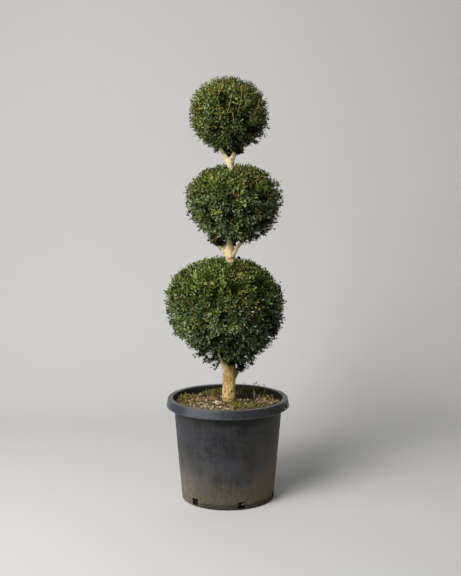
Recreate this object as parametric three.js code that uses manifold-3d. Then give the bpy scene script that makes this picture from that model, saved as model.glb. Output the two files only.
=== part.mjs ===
// A boxwood topiary in a nursery pot: one trunk with three clipped balls of leaves on it.
// Millimetres, +Z up. The origin is the middle of the pot's flat underside, and -Y is the front.

import * as THREE from "three";
import { mergeVertices } from "three/addons/utils/BufferGeometryUtils.js";
import Module from "manifold-3d";

const wasm = await Module();
wasm.setup();

// Room left between neighbouring pieces
const clearance = 0.3;

// The pot, a tapering tub with a turned-down collar round its mouth
const pot = {
  height: 332,
  footRadius: 150,
  footRound: 6,
  floor: 4,
  wall: 3,
  neckRadius: 175.5,
  mouthRadius: 179,
  rimRadius: 195,
  rimRound: 4,
  collarRadius: 200,
  collarDrop: 27,
  facets: 40,
};

// Drain holes cut through the wall just above the floor, the first one right of the front
const drain = { count: 6, width: 24, height: 22, above: 4.5, firstTurn: 16.5, depth: 30 };

// Hand slots cut through the collar on two opposite sides
const slot = { count: 2, width: 19, height: 13, above: 308, firstTurn: 70, depth: 30 };

// Soil heaped a little towards the trunk, which stands on a flat seat
const soil = { edgeLevel: 313, seatLevel: 318, seatRadius: 34, shoulderLevel: 316, shoulderRadius: 105 };

// The trunk's middle and radius at rising levels: x, y, z, radius
const trunkStations = [
  [1.5, 0, soil.seatLevel + clearance, 25],
  [1.5, 0, 326, 22.5],
  [2, 0, 345, 20.5],
  [2.8, 0, 372, 21],
  [4.8, 0, 394, 20],
  [4.6, 0, 414, 21.8],
  [4.5, 0, 432, 21.5],
  [6, 0, 455, 18],
  [7, 0, 560, 16.5],
  [8, 0, 700, 15],
  [8, 0, 780, 13.8],
  [6.5, 0, 797, 18],
  [5, 0, 812, 15],
  [4, 0, 832, 11],
  [6, 0, 950, 10.8],
  [8, 0, 1078, 10.5],
  [6, 0, 1094, 14],
  [5.5, 0, 1102, 10],
];
const trunkShape = { sides: 12, stepsEach: 2 };

// The boughs that show under each ball, from inside the trunk to their seat in a ball's core
const boughStations = {
  bough_low_left: [[2, -4, 396, 9], [-10, -8, 432, 8.5], [-20, -11, 455, 7], [-31, -12, 484, 5.5]],
  bough_low_right: [[14, 2, 385, 7], [26, 3, 412, 5.8], [35, 4, 434, 5], [48, 5, 476, 4]],
  bough_mid_left: [[4, -2, 792, 8], [-14, -4, 812, 7], [-30, -5, 834, 6], [-46, -6, 874, 4.5]],
  bough_mid_right: [[12, -2, 792, 8.5], [28.5, -3, 818, 7.2], [48, -4, 842, 5.8], [70, -4, 880, 4.5]],
  bough_top_left: [[4, 0, 1092, 8.5], [-8, 0, 1113, 7.6], [-20, 0, 1134, 6.4], [-36, 0, 1180, 4.5]],
  bough_top_right: [[9, 0, 1092, 9], [19, 0, 1113, 8.5], [25, 0, 1134, 6.5], [34, 0, 1180, 4.5]],
};
const boughShape = { sides: 8, stepsEach: 3 };

// The clipped balls: middle, half width, height above and depth below the middle, how full
// the upper and lower halves are (2 is an ellipse), how far the lower half leans to the right
// for its depth, and the number of sprigs
const balls = {
  foliage_low: {
    x: -11.5, z: 637, radius: 194, rise: 154, drop: 211,
    fullAbove: 2.15, fullBelow: 1.86, lean: 0.08, sprigs: 42, seed: 11,
  },
  foliage_mid: {
    x: 19, z: 977, radius: 155, rise: 110, drop: 160,
    fullAbove: 2.2, fullBelow: 2, lean: 0.02, sprigs: 30, seed: 23,
  },
  foliage_top: {
    x: 2, z: 1240.5, radius: 126, rise: 116, drop: 121,
    fullAbove: 2.35, fullBelow: 2.1, lean: 0.04, sprigs: 23, seed: 37,
  },
};

// What a sprig is made of. Its leaves are over three times life size, because they are few.
const shellDepth = 26;
const core = { detail: 3, lump: 6, lumpsAcross: 7 };
const twig = { sides: 3, rootRadius: 5, tipRadius: 3, sunk: 14, shy: 16, sway: 0.2 };
const sideTwig = { from: 0.5, angle: 60 };
const leaf = { length: 42, width: 26, thick: 2.8, sunk: 1, leastSplay: 40, mostSplay: 96, splayStep: 7 };

// Opposite pairs of leaves: how far up the twig they stand, and their turn round it
const mainPairs = [{ at: 0.94, turn: 0 }, { at: 0.66, turn: 90 }];
const sidePairs = [{ at: 0.94, turn: 0 }];
const limbMargin = 2;

// A repeatable stream of numbers from 0 to 1, by a linear congruential rule
const streamFactor = 1664525;
const streamStep = 1013904223;
const streamRange = 2 ** 32;

function numbersFrom(seed) {
  let state = seed;
  return () => {
    state = (Math.imul(state, streamFactor) + streamStep) >>> 0;
    return state / streamRange;
  };
}

const radians = THREE.MathUtils.degToRad;

// Turns a closed geometry into a solid for joining and cutting
function solidOf(geometry) {
  const bare = geometry.clone();
  bare.deleteAttribute("normal");
  bare.deleteAttribute("uv");
  const merged = mergeVertices(bare);
  const corners = [];
  for (let i = 0; i < merged.index.count; i += 3) {
    const [a, b, c] = [merged.index.getX(i), merged.index.getX(i + 1), merged.index.getX(i + 2)];
    if (a !== b && b !== c && c !== a) corners.push(a, b, c);
  }
  const vertProperties = new Float32Array(merged.attributes.position.array);
  return new wasm.Manifold(new wasm.Mesh({ numProp: 3, vertProperties, triVerts: new Uint32Array(corners) }));
}

// The largest closed body of a solid: a sealed hollow is filled and a loose scrap is dropped
function largestOf(solid) {
  return solid.decompose().reduce((best, body) => (body.volume() > best.volume() ? body : best));
}

function meshOf(name, solid, material) {
  const { vertProperties, triVerts } = solid.getMesh();
  const geometry = new THREE.BufferGeometry();
  geometry.setAttribute("position", new THREE.BufferAttribute(vertProperties, 3));
  geometry.setIndex(new THREE.BufferAttribute(triVerts, 1));
  geometry.computeVertexNormals();
  const mesh = new THREE.Mesh(geometry, material);
  mesh.name = name;
  return mesh;
}

// A profile of [radius, level] points turned round the upright axis
function turned(profile) {
  const points = profile.map(([radius, level]) => new THREE.Vector2(radius, level));
  return solidOf(new THREE.LatheGeometry(points, pot.facets).rotateX(Math.PI / 2));
}

// A box standing on a level, facing outwards at a turn from the front towards the right
function boxThroughWall(cut, radius, turn) {
  const box = new THREE.BoxGeometry(cut.width, cut.depth, cut.height);
  box.translate(0, -radius, cut.above + cut.height / 2);
  return solidOf(box.rotateZ(radians(turn)));
}

// Radius of the pot's outside at a level between its foot and its neck
const neckLevel = pot.height - pot.collarDrop;
function bodyRadius(level) {
  return THREE.MathUtils.lerp(pot.footRadius, pot.neckRadius, level / neckLevel);
}

// The points of a quarter round in a profile, without its ends
function quarterRound(middleRadius, middleLevel, round, fromTurn, toTurn) {
  return [1, 2].map((step) => {
    const turn = radians(THREE.MathUtils.lerp(fromTurn, toTurn, step / 3));
    return [middleRadius + round * Math.cos(turn), middleLevel + round * Math.sin(turn)];
  });
}

function potSolid() {
  const { height, wall, floor, footRadius, footRound, rimRadius, rimRound, mouthRadius, collarRadius } = pot;
  const rimLevel = height - rimRound;
  let body = turned([
    [0, 0],
    [footRadius - footRound, 0],
    ...quarterRound(bodyRadius(footRound) - footRound, footRound, footRound, -90, 0),
    [bodyRadius(footRound), footRound],
    [pot.neckRadius, neckLevel],
    [mouthRadius + wall, rimLevel],
    [rimRadius - wall, rimLevel],
    [collarRadius - wall, neckLevel],
    [collarRadius, neckLevel],
    [rimRadius, rimLevel],
    ...quarterRound(rimRadius - rimRound, rimLevel, rimRound, 0, 90),
    [rimRadius - rimRound, height],
    [mouthRadius + wall, height],
    [mouthRadius, height - wall],
    [pot.neckRadius - wall, neckLevel],
    [footRadius - wall, floor],
    [0, floor],
  ]);
  for (let i = 0; i < drain.count; i += 1) {
    const turn = drain.firstTurn + (360 / drain.count) * i;
    body = body.subtract(boxThroughWall(drain, footRadius, turn));
  }
  for (let i = 0; i < slot.count; i += 1) {
    const turn = slot.firstTurn + (360 / slot.count) * i;
    body = body.subtract(boxThroughWall(slot, collarRadius + slot.depth / 4, turn));
  }
  return body;
}

function soilSolid() {
  const inside = (level) => {
    const share = (level - pot.floor) / (neckLevel - pot.floor);
    return THREE.MathUtils.lerp(pot.footRadius, pot.neckRadius, share) - pot.wall - clearance;
  };
  const low = pot.floor + clearance;
  return turned([
    [0, low],
    [inside(pot.floor), low],
    [inside(neckLevel), neckLevel],
    [inside(neckLevel), soil.edgeLevel],
    [soil.shoulderRadius, soil.shoulderLevel],
    [soil.seatRadius, soil.seatLevel],
    [0, soil.seatLevel],
  ]);
}

// A tapering limb through its stations. at(t) gives its middle and radius from foot to tip.
function limbThrough(stations, shape) {
  const curve = new THREE.CatmullRomCurve3(stations.map(([x, y, z]) => new THREE.Vector3(x, y, z)));
  const spans = stations.length - 1;
  const at = (t) => {
    const span = Math.min(Math.floor(t * spans), spans - 1);
    const radius = THREE.MathUtils.lerp(stations[span][3], stations[span + 1][3], t * spans - span);
    return { middle: curve.getPoint(t), radius };
  };
  return { ...shape, curve, at, steps: spans * shape.stepsEach };
}

// The limb as a solid: a cylinder bent along its curve, its rings level where level is set.
// The extra is added all round and past both ends.
function limbSolid(limb, extra = 0) {
  const geometry = new THREE.CylinderGeometry(1, 1, 1, limb.sides, limb.steps);
  const place = geometry.attributes.position;
  const depthAxis = new THREE.Vector3(0, 1, 0);
  const point = new THREE.Vector3();
  for (let i = 0; i < place.count; i += 1) {
    point.fromBufferAttribute(place, i);
    const t = point.y + 0.5;
    const { middle, radius } = limb.at(t);
    const along = limb.level ? new THREE.Vector3(0, 0, 1) : limb.curve.getTangent(t);
    const across = new THREE.Vector3().crossVectors(along, depthAxis).normalize();
    const third = new THREE.Vector3().crossVectors(across, along);
    const past = t === 0 ? -extra : t === 1 ? extra : 0;
    middle.addScaledVector(across, point.x * (radius + extra));
    middle.addScaledVector(third, point.z * (radius + extra));
    middle.addScaledVector(along, past);
    place.setXYZ(i, middle.x, middle.y, middle.z);
  }
  return solidOf(geometry);
}

const trunk = limbThrough(trunkStations, { ...trunkShape, level: true });
const boughs = Object.fromEntries(
  Object.entries(boughStations).map(([name, stations]) => [name, limbThrough(stations, boughShape)]),
);
const limbs = [trunk, ...Object.values(boughs)];
const trunkRoom = limbSolid(trunk, clearance);
const limbRoom = wasm.Manifold.union(limbs.map((limb) => limbSolid(limb, clearance)));

// Each bough is cut clear of the trunk and of the boughs made before it
function boughSolids() {
  let room = trunkRoom;
  return Object.entries(boughs).map(([name, limb]) => {
    const solid = largestOf(limbSolid(limb).subtract(room));
    room = room.add(limbSolid(limb, clearance));
    return [name, solid];
  });
}

// Distance from a ball's middle to its clipped outline in a direction, drawn in by an inset
function reach(ball, direction, inset = 0) {
  const above = direction.z > 0;
  const full = above ? ball.fullAbove : ball.fullBelow;
  const level = Math.hypot(direction.x, direction.y) / (ball.radius - inset);
  const height = Math.abs(direction.z) / ((above ? ball.rise : ball.drop) - inset);
  return (level ** full + height ** full) ** (-1 / full);
}

function middleOf(ball) {
  return new THREE.Vector3(ball.x, 0, ball.z);
}

// A point moved by the ball's lean, or back where way is -1
function leaned(ball, point, way = 1) {
  const depth = Math.max(ball.z - point.z, 0);
  return new THREE.Vector3(point.x + way * ball.lean * depth, point.y, point.z);
}

function isInside(ball, point) {
  const offset = leaned(ball, point, -1).sub(middleOf(ball));
  return offset.length() < reach(ball, offset.clone().normalize());
}

// The core that the sprigs stand out of: the ball's outline drawn in by the depth of its shell,
// with lumps where waves along the three axes meet
function coreSolid(ball) {
  const geometry = new THREE.IcosahedronGeometry(1, core.detail);
  const place = geometry.attributes.position;
  const point = new THREE.Vector3();
  const wave = (share) => Math.sin(share * core.lumpsAcross * Math.PI + ball.seed);
  for (let i = 0; i < place.count; i += 1) {
    point.fromBufferAttribute(place, i).normalize();
    const lump = core.lump * wave(point.x) * wave(point.y) * wave(point.z);
    point.multiplyScalar(reach(ball, point, shellDepth) + lump).add(middleOf(ball));
    place.setXYZ(i, ...leaned(ball, point));
  }
  return solidOf(geometry);
}

// True where all the points lie inside the ball's outline and clear of every limb
function isFree(ball, points) {
  return points.every((point) => {
    if (!isInside(ball, point)) return false;
    return limbs.every((limb) => {
      const samples = limb.steps * 2;
      for (let i = 0; i <= samples; i += 1) {
        const { middle, radius } = limb.at(i / samples);
        if (middle.distanceTo(point) < radius + limbMargin) return false;
      }
      return true;
    });
  });
}

// Distance along a heading from a point inside a ball to the ball's outline, by halving
const halvings = 20;
function roomAhead(ball, from, heading) {
  let [near, far] = [0, ball.radius * 2];
  for (let i = 0; i < halvings; i += 1) {
    const half = (near + far) / 2;
    if (isInside(ball, from.clone().addScaledVector(heading, half))) near = half;
    else far = half;
  }
  return near;
}

// A unit vector square to an axis, turned round it
function sideOf(axis, turn) {
  const helper = Math.abs(axis.z) < 0.9 ? new THREE.Vector3(0, 0, 1) : new THREE.Vector3(1, 0, 0);
  return new THREE.Vector3().crossVectors(axis, helper).normalize().applyAxisAngle(axis, turn);
}

// A direction leant from an axis towards a side that is square to it
function leant(axis, angle, side) {
  return axis.clone().multiplyScalar(Math.cos(angle)).addScaledVector(side, Math.sin(angle));
}

function boxesMeet(one, other) {
  return [0, 1, 2].every((i) => one.min[i] <= other.max[i] && other.min[i] <= one.max[i]);
}

// Adds a piece to a mass unless it crosses a piece that it doesn't grow on
function grow(mass, solid, hosts) {
  const box = solid.boundingBox();
  const crossed = mass.pieces.some(
    (piece) => !hosts.includes(piece) && boxesMeet(box, piece.box) && !piece.solid.intersect(solid).isEmpty(),
  );
  if (crossed) return null;
  const piece = { solid, box };
  mass.pieces.push(piece);
  return piece;
}

// A leaf from a node on a twig: a flat diamond of eight faces, its root sunk into the twig, with
// its upper side to the twig's tip. True if there is room for it.
function growLeaf(mass, host, node, axis, direction) {
  const across = new THREE.Vector3().crossVectors(axis, direction).normalize();
  const facing = new THREE.Vector3().crossVectors(across, direction);
  const tip = node.clone().addScaledVector(direction, leaf.length - leaf.sunk);
  const midst = node.clone().addScaledVector(direction, leaf.length / 2 - leaf.sunk);
  const edges = [-1, 1].map((side) => midst.clone().addScaledVector(across, (side * leaf.width) / 2));
  if (!isFree(mass.ball, [tip, midst, ...edges])) return false;
  const geometry = new THREE.OctahedronGeometry(0.5);
  geometry.scale(leaf.width, leaf.length, leaf.thick);
  geometry.translate(0, leaf.length / 2 - leaf.sunk, 0);
  geometry.applyMatrix4(new THREE.Matrix4().makeBasis(across, direction, facing).setPosition(node));
  return grow(mass, solidOf(geometry), [host]) !== null;
}

// A leaf that stands as steeply from its twig as the room there allows
function growSplayedLeaf(mass, host, node, axis, side) {
  for (let splay = leaf.leastSplay; splay <= leaf.mostSplay; splay += leaf.splayStep) {
    if (growLeaf(mass, host, node, axis, leant(axis, radians(splay), side))) return;
  }
}

// A three-sided twig that ends just under the ball's outline, with its pairs of opposite leaves
function growTwig(mass, hosts, root, axis, side, pairs) {
  const length = roomAhead(mass.ball, root, axis) - twig.shy;
  const tip = root.clone().addScaledVector(axis, length);
  if (!isFree(mass.ball, [tip, root.clone().lerp(tip, 0.5)])) return null;
  const geometry = new THREE.CylinderGeometry(twig.tipRadius, twig.rootRadius, length, twig.sides);
  geometry.translate(0, length / 2, 0);
  geometry.applyQuaternion(new THREE.Quaternion().setFromUnitVectors(new THREE.Vector3(0, 1, 0), axis));
  geometry.translate(root.x, root.y, root.z);
  const stem = grow(mass, solidOf(geometry), hosts);
  if (!stem) return null;
  for (const pair of pairs) {
    const node = root.clone().lerp(tip, pair.at);
    for (const half of [0, Math.PI]) {
      const way = side.clone().applyAxisAngle(axis, radians(pair.turn) + half);
      growSplayedLeaf(mass, stem, node, axis, way);
    }
  }
  return stem;
}

// A sprig: a twig out of the core that sways a little, and a side twig low on it
function growSprig(mass, heart, direction, next) {
  const rootReach = reach(mass.ball, direction, shellDepth) - twig.sunk;
  const root = leaned(mass.ball, middleOf(mass.ball).addScaledVector(direction, rootReach));
  const heading = leant(direction, twig.sway * next(), sideOf(direction, next() * Math.PI * 2));
  const away = sideOf(heading, next() * Math.PI * 2);
  const across = new THREE.Vector3().crossVectors(heading, away);
  const stem = growTwig(mass, [heart], root, heading, across, mainPairs);
  if (!stem) return;
  const fork = root.clone().addScaledVector(heading, twig.sunk * sideTwig.from);
  const branch = leant(heading, radians(sideTwig.angle), away);
  growTwig(mass, [heart, stem], fork, branch, across, sidePairs);
}

// Directions spread evenly over a ball along a golden-angle spiral
const goldenAngle = Math.PI * (3 - Math.sqrt(5));
function spiralDirection(i, count) {
  const height = 1 - (2 * i) / (count - 1);
  const level = Math.sqrt(1 - height * height);
  return new THREE.Vector3(level * Math.cos(goldenAngle * i), level * Math.sin(goldenAngle * i), height);
}

function foliageSolid(ball) {
  const next = numbersFrom(ball.seed);
  const mass = { ball, pieces: [] };
  const heart = grow(mass, coreSolid(ball), []);
  for (let i = 0; i < ball.sprigs; i += 1) {
    growSprig(mass, heart, spiralDirection(i, ball.sprigs), next);
  }
  const joined = wasm.Manifold.union(mass.pieces.map((piece) => piece.solid));
  return largestOf(joined.subtract(limbRoom));
}

const plastic = new THREE.MeshStandardMaterial({ color: 0x2e3236, roughness: 0.62, metalness: 0 });
const compost = new THREE.MeshStandardMaterial({ color: 0x6b5840, roughness: 0.95, metalness: 0 });
const bark = new THREE.MeshStandardMaterial({ color: 0xb99c6c, roughness: 0.9, metalness: 0 });
const leafGreen = new THREE.MeshStandardMaterial({ color: 0x41561f, roughness: 0.6, metalness: 0 });

const plant = new THREE.Group();
plant.add(meshOf("trunk", limbSolid(trunk), bark.clone()));
for (const [name, solid] of boughSolids()) plant.add(meshOf(name, solid, bark.clone()));
for (const [name, ball] of Object.entries(balls)) {
  plant.add(meshOf(name, foliageSolid(ball), leafGreen.clone()));
}

const topiary = new THREE.Group();
topiary.add(meshOf("pot", potSolid(), plastic));
topiary.add(meshOf("soil", soilSolid(), compost));
topiary.add(plant);

export default topiary;
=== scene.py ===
import math
import bmesh
import bpy
import numpy as np
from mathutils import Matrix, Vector


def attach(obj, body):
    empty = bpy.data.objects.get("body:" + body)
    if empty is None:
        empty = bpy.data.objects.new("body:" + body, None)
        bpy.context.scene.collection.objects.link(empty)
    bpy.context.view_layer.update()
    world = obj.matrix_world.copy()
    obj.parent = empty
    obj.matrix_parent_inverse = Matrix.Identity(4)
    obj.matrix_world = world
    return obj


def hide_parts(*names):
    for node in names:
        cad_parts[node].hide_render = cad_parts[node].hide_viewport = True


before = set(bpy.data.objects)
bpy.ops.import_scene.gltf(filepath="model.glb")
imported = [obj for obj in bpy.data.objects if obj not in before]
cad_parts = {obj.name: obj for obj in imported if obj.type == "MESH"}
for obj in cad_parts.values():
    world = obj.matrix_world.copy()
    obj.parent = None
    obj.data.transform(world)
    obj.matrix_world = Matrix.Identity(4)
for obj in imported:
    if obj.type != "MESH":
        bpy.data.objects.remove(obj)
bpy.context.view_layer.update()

# Sizes of pieces are millimetres, and newPiece turns them into metres. Materials read metres.
mm = 0.001
up = np.array([0.0, 0.0, 1.0])
sideways = np.array([1.0, 0.0, 0.0])
circle = 2 * math.pi
goldenAngle = math.pi * (3 - math.sqrt(5))


# Array helpers

# Each vector divided by its own length
def unit(vectors):
    return vectors / np.maximum(np.linalg.norm(vectors, axis=-1, keepdims=True), 1e-9)


# A smooth ramp, 3t^2 - 2t^3, from 0 at low to 1 at high
def ramp(values, low, high):
    t = np.clip((values - low) / (high - low), 0, 1)
    return t * t * (3 - 2 * t)


# Shares from 0 to 1 in even steps
def evenSteps(count):
    return np.linspace(0, 1, count)


# Turns that share a full circle evenly
def evenTurns(count):
    return np.arange(count) * circle / count


# Random numbers on a lattice of cells, blended across each cell by a smooth ramp, from -1 to 1.
# A corner's number is its place and the seed times primes, folded on itself twice.
def cloud(points, cell, seed):
    place = points / cell
    corner = np.floor(place).astype(np.int64)
    t = ramp(place - corner, 0, 1)
    total = np.zeros(points.shape[:-1])
    for step in np.ndindex(2, 2, 2):
        x, y, z = np.moveaxis(corner + step, -1, 0)
        mixed = (x * 374761393 + y * 668265263 + z * 974634689 + seed * 144269) & 0xFFFFFFFF
        mixed = ((mixed ^ (mixed >> 13)) * 1274126177) & 0xFFFFFFFF
        number = ((mixed ^ (mixed >> 16)) & 0xFFFF) / 0xFFFF
        total += number * np.prod(np.where(step, t, 1 - t), axis=-1)
    return total * 2 - 1


# Clouds of several cell sizes added, each times its weight
def clouds(points, layers, seed):
    return sum(weight * cloud(points, cell, seed + k) for k, (cell, weight) in enumerate(layers))


# How near each point is to the middle of a bump: bumps sit at random in a lattice of cells, and
# the value falls from 1 at a bump's middle to 0 at half a cell
def bumps(points, cell, seed, jitter=0.4):
    place = points / cell
    corner = np.floor(place).astype(np.int64)
    nearest = np.full(points.shape[:-1], np.inf)
    for step in np.ndindex(3, 3, 3):
        home = corner + np.array(step) - 1
        shift = np.stack([cloud(home + 0.0, 1.0, seed + axis) for axis in range(3)], -1)
        nearest = np.minimum(nearest, np.linalg.norm(place - home - 0.5 - jitter * shift, axis=-1))
    return 1 - ramp(nearest, 0, 0.5)


# Turning matrices from random unit quaternions
def randomTurns(count, rng):
    w, x, y, z = unit(rng.normal(size=(count, 4))).T
    rows = [[1 - 2 * (y * y + z * z), 2 * (x * y - z * w), 2 * (x * z + y * w)],
            [2 * (x * y + z * w), 1 - 2 * (x * x + z * z), 2 * (y * z - x * w)],
            [2 * (x * z - y * w), 2 * (y * z + x * w), 1 - 2 * (x * x + y * y)]]
    return np.moveaxis(np.array(rows), -1, 0)


# The quads of a grid of points, row by row; wrapped joins the last column to the first
def gridFaces(rows, columns, wrapped):
    i = np.arange(rows - 1)[:, None] * columns
    j = np.arange(columns if wrapped else columns - 1)[None]
    k = (j + 1) % columns
    return np.stack([i + j, i + k, i + columns + k, i + columns + j], -1).reshape(-1, 4)


# The two flat end faces of a tube of rings, the first one turned over
def endFaces(rows, sides):
    ring = np.arange(sides)
    return np.stack([ring[::-1], ring + (rows - 1) * sides])


# The same faces for each of several copies whose points follow one another
def repeated(faces, copies, pointsEach):
    shift = np.arange(copies)[:, None, None] * pointsEach
    return (faces[None] + shift).reshape(-1, faces.shape[1])


# Points turned round the upright axis: radius times (sine, minus cosine), where a turn is measured
# to the right of the front, at their levels
def turnedPoints(radius, level, turn):
    return np.stack(np.broadcast_arrays(radius * np.sin(turn), radius * -np.cos(turn), level), -1)


# Directions turned on the level and raised: (cos turn cos rise, sin turn cos rise, sin rise)
def raised(turn, rise):
    return np.stack([np.cos(turn) * np.cos(rise), np.sin(turn) * np.cos(rise), np.sin(rise)], -1)


# A smooth curve through stations: cubic spans over the chord length, where each station's slope
# is the mean of its two chords' slopes and the nearer chord weighs more
def curveThrough(stations, spacing):
    s = np.asarray(stations, float)
    chord = np.linalg.norm(np.diff(s[:, :3], axis=0), axis=1)
    along = np.concatenate([[0], np.cumsum(chord)])
    slope = np.diff(s, axis=0) / chord[:, None]
    near, far = chord[1:, None], chord[:-1, None]
    inner = (slope[:-1] * near + slope[1:] * far) / (near + far)
    tangent = np.vstack([slope[:1], inner, slope[-1:]])
    at = np.linspace(0, along[-1], int(along[-1] / spacing) + 2)
    span = np.clip(np.searchsorted(along, at, side="right") - 1, 0, len(chord) - 1)
    length = chord[span][:, None]
    t = (at - along[span])[:, None] / length
    return ((1 + 2 * t) * (1 - t) ** 2 * s[span] + t * (1 - t) ** 2 * length * tangent[span]
            + t * t * (3 - 2 * t) * s[span + 1] + t * t * (t - 1) * length * tangent[span + 1])


# Points on a curve that leaves its root for a bend and ends at its tip:
# (1-t)^2 root + 2t(1-t) bend + t^2 tip
def bentPaths(root, bend, tip, t):
    t = np.atleast_2d(t)[..., None]
    return (1 - t) ** 2 * root[:, None] + 2 * t * (1 - t) * bend[:, None] + t * t * tip[:, None]


# A direction square to each axis and to the upright, or to sideways where an axis is steep
def squareTo(axis, steep):
    return unit(np.cross(axis, np.where(np.abs(axis[..., 2:]) < steep, up, sideways)))


# Tubes round paths of equal step counts: each path point plus its radius times the cosine and
# sine sides of a frame square to the path, with a flat face on each end
def tubes(paths, radii, sides):
    count, steps = paths.shape[:2]
    radii = np.broadcast_to(radii, (count, steps))
    along = unit(np.gradient(paths, axis=1))
    chord = unit(paths[:, -1] - paths[:, 0])
    first = squareTo(chord, steep=0.8)[:, None]
    across = unit(first - np.sum(first * along, -1, keepdims=True) * along)
    third = np.cross(along, across)
    turn = evenTurns(sides)[:, None]
    ring = across[:, :, None] * np.cos(turn) + third[:, :, None] * np.sin(turn)
    points = paths[:, :, None] + radii[:, :, None, None] * ring
    blocks = (gridFaces(steps, sides, True), endFaces(steps, sides))
    return points.reshape(-1, 3), [repeated(block, count, steps * sides) for block in blocks]


# One number for each tube as one for each of its faces
def faceTints(tint, faces):
    return np.concatenate([np.repeat(tint, len(block) // len(tint)) for block in faces])


# Arrays of points and faces as one mesh object at the origin. faces is a list of index arrays
# with one face a row; tint gives each face's material when there are several.
def newPiece(name, points, faces, materials, tint=None, smooth=True):
    mesh = bpy.data.meshes.new(name)
    corners = np.concatenate([block.ravel() for block in faces])
    sizes = np.concatenate([np.full(len(block), block.shape[1]) for block in faces])
    mesh.vertices.add(points.size // 3)
    mesh.vertices.foreach_set("co", (points * mm).astype(np.float32).ravel())
    mesh.loops.add(len(corners))
    mesh.loops.foreach_set("vertex_index", corners.astype(np.int32))
    mesh.polygons.add(len(sizes))
    mesh.polygons.foreach_set("loop_start", (np.cumsum(sizes) - sizes).astype(np.int32))
    mesh.polygons.foreach_set("use_smooth", np.full(len(sizes), smooth))
    for material in materials:
        mesh.materials.append(material)
    if tint is not None:
        mesh.polygons.foreach_set("material_index", tint.astype(np.int32))
    mesh.update(calc_edges=True)
    piece = bpy.data.objects.new(name, mesh)
    bpy.context.scene.collection.objects.link(piece)
    return piece


# Hangs a piece on the plant's one body and hides the node it stands for; its finish, the slot, is not used
def dress(piece, slot, *nodes):
    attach(piece, "root")
    if nodes:
        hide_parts(*nodes)


# Stores one number for each point, for a material to read by name
def storeValue(piece, name, values):
    attribute = piece.data.attributes.new(name, "FLOAT", "POINT")
    attribute.data.foreach_set("value", values.astype(np.float32).ravel())


# Welds a closed shell's doubled points, turns its faces outwards and keeps its hard edges sharp
def tidyShell(piece, sharp=38, weld=1e-6):
    shell = bmesh.new()
    shell.from_mesh(piece.data)
    bmesh.ops.remove_doubles(shell, verts=shell.verts, dist=weld)
    loose = [vertex for vertex in shell.verts if not vertex.link_faces]
    bmesh.ops.delete(shell, geom=loose, context="VERTS")
    bmesh.ops.recalc_face_normals(shell, faces=shell.faces)
    shell.to_mesh(piece.data)
    shell.free()
    piece.data.set_sharp_from_angle(angle=math.radians(sharp))


# Material helpers

# Adds a node, sets its fields and its sockets; a socket given another node's output is linked
def addNode(tree, kind, sockets=None, **fields):
    node = tree.nodes.new("ShaderNode" + kind)
    for field, value in fields.items():
        setattr(node, field, value)
    for socket, value in (sockets or {}).items():
        if isinstance(value, bpy.types.NodeSocket):
            tree.links.new(value, node.inputs[socket])
        else:
            node.inputs[socket].default_value = value
    return node


# A colour between two by a mask: a + mask * (b - a). A Mix node takes its colours at sockets 6 and 7
# and gives one at 2.
def blendColour(tree, mask, first, second):
    sockets = {0: mask}
    for socket, colour in ((6, first), (7, second)):
        sockets[socket] = colour if isinstance(colour, bpy.types.NodeSocket) else (*colour, 1)
    return addNode(tree, "Mix", sockets, data_type="RGBA").outputs[2]


# One sum, product or other operation on two numbers
def calc(tree, operation, first, second):
    return addNode(tree, "Math", {0: first, 1: second}, operation=operation).outputs[0]


# A smooth ramp of a number from 0 at low to 1 at high
def rampNode(tree, value, low, high):
    node = addNode(tree, "MapRange", {"Value": value, "From Min": low, "From Max": high},
                   interpolation_type="SMOOTHSTEP")
    return node.outputs["Result"]


# Cloud noise of a scale, a detail and a roughness
def noiseNode(tree, vector, scale, detail, roughness=0.5):
    sockets = {"Vector": vector, "Scale": scale, "Detail": detail, "Roughness": roughness}
    return addNode(tree, "TexNoise", sockets).outputs["Fac"]


# A new node group with a place and numbers coming in and one number going out
def newGroup(name, numbers, output):
    tree = bpy.data.node_groups.new(name, "ShaderNodeTree")
    tree.interface.new_socket("Vector", in_out="INPUT", socket_type="NodeSocketVector")
    for socket in numbers:
        tree.interface.new_socket(socket, in_out="INPUT", socket_type="NodeSocketFloat")
    tree.interface.new_socket(output, in_out="OUTPUT", socket_type="NodeSocketFloat")
    return tree, tree.nodes.new("NodeGroupInput").outputs, tree.nodes.new("NodeGroupOutput").inputs[output]


# Patches: cloud noise pushed to a mask by a smooth ramp from Start to End
def makePatches(detail=5.0, roughness=0.6):
    tree, given, result = newGroup("patches", ("Scale", "Start", "End"), "Mask")
    noise = noiseNode(tree, given["Vector"], given["Scale"], detail, roughness)
    tree.links.new(rampNode(tree, noise, given["Start"], given["End"]), result)
    return tree


# Grit: coarse noise and a part of fine noise added for a bump's height
def makeGrit(finePart=0.4, coarseDetail=3.0, fineDetail=2.0):
    tree, given, result = newGroup("grit", ("Coarse", "Fine"), "Height")
    coarse = noiseNode(tree, given["Vector"], given["Coarse"], coarseDetail)
    fine = noiseNode(tree, given["Vector"], given["Fine"], fineDetail)
    tree.links.new(calc(tree, "ADD", coarse, calc(tree, "MULTIPLY", fine, finePart)), result)
    return tree


patches = makePatches()
grit = makeGrit()


# A group placed in a material with its own values
def useGroup(tree, group, output, **sockets):
    return addNode(tree, "Group", sockets, node_tree=group).outputs[output]


# A material with its shader's plain values, its node tree and its shader
def newMaterial(name, roughness=0.5, gloss=0.5, colour=(0.8, 0.8, 0.8)):
    material = bpy.data.materials.new(name)
    material.use_nodes = True
    shader = material.node_tree.nodes["Principled BSDF"]
    shader.inputs["Base Color"].default_value = (*colour, 1)
    shader.inputs["Roughness"].default_value = roughness
    shader.inputs["Specular IOR Level"].default_value = gloss
    return material, material.node_tree, shader


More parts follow.
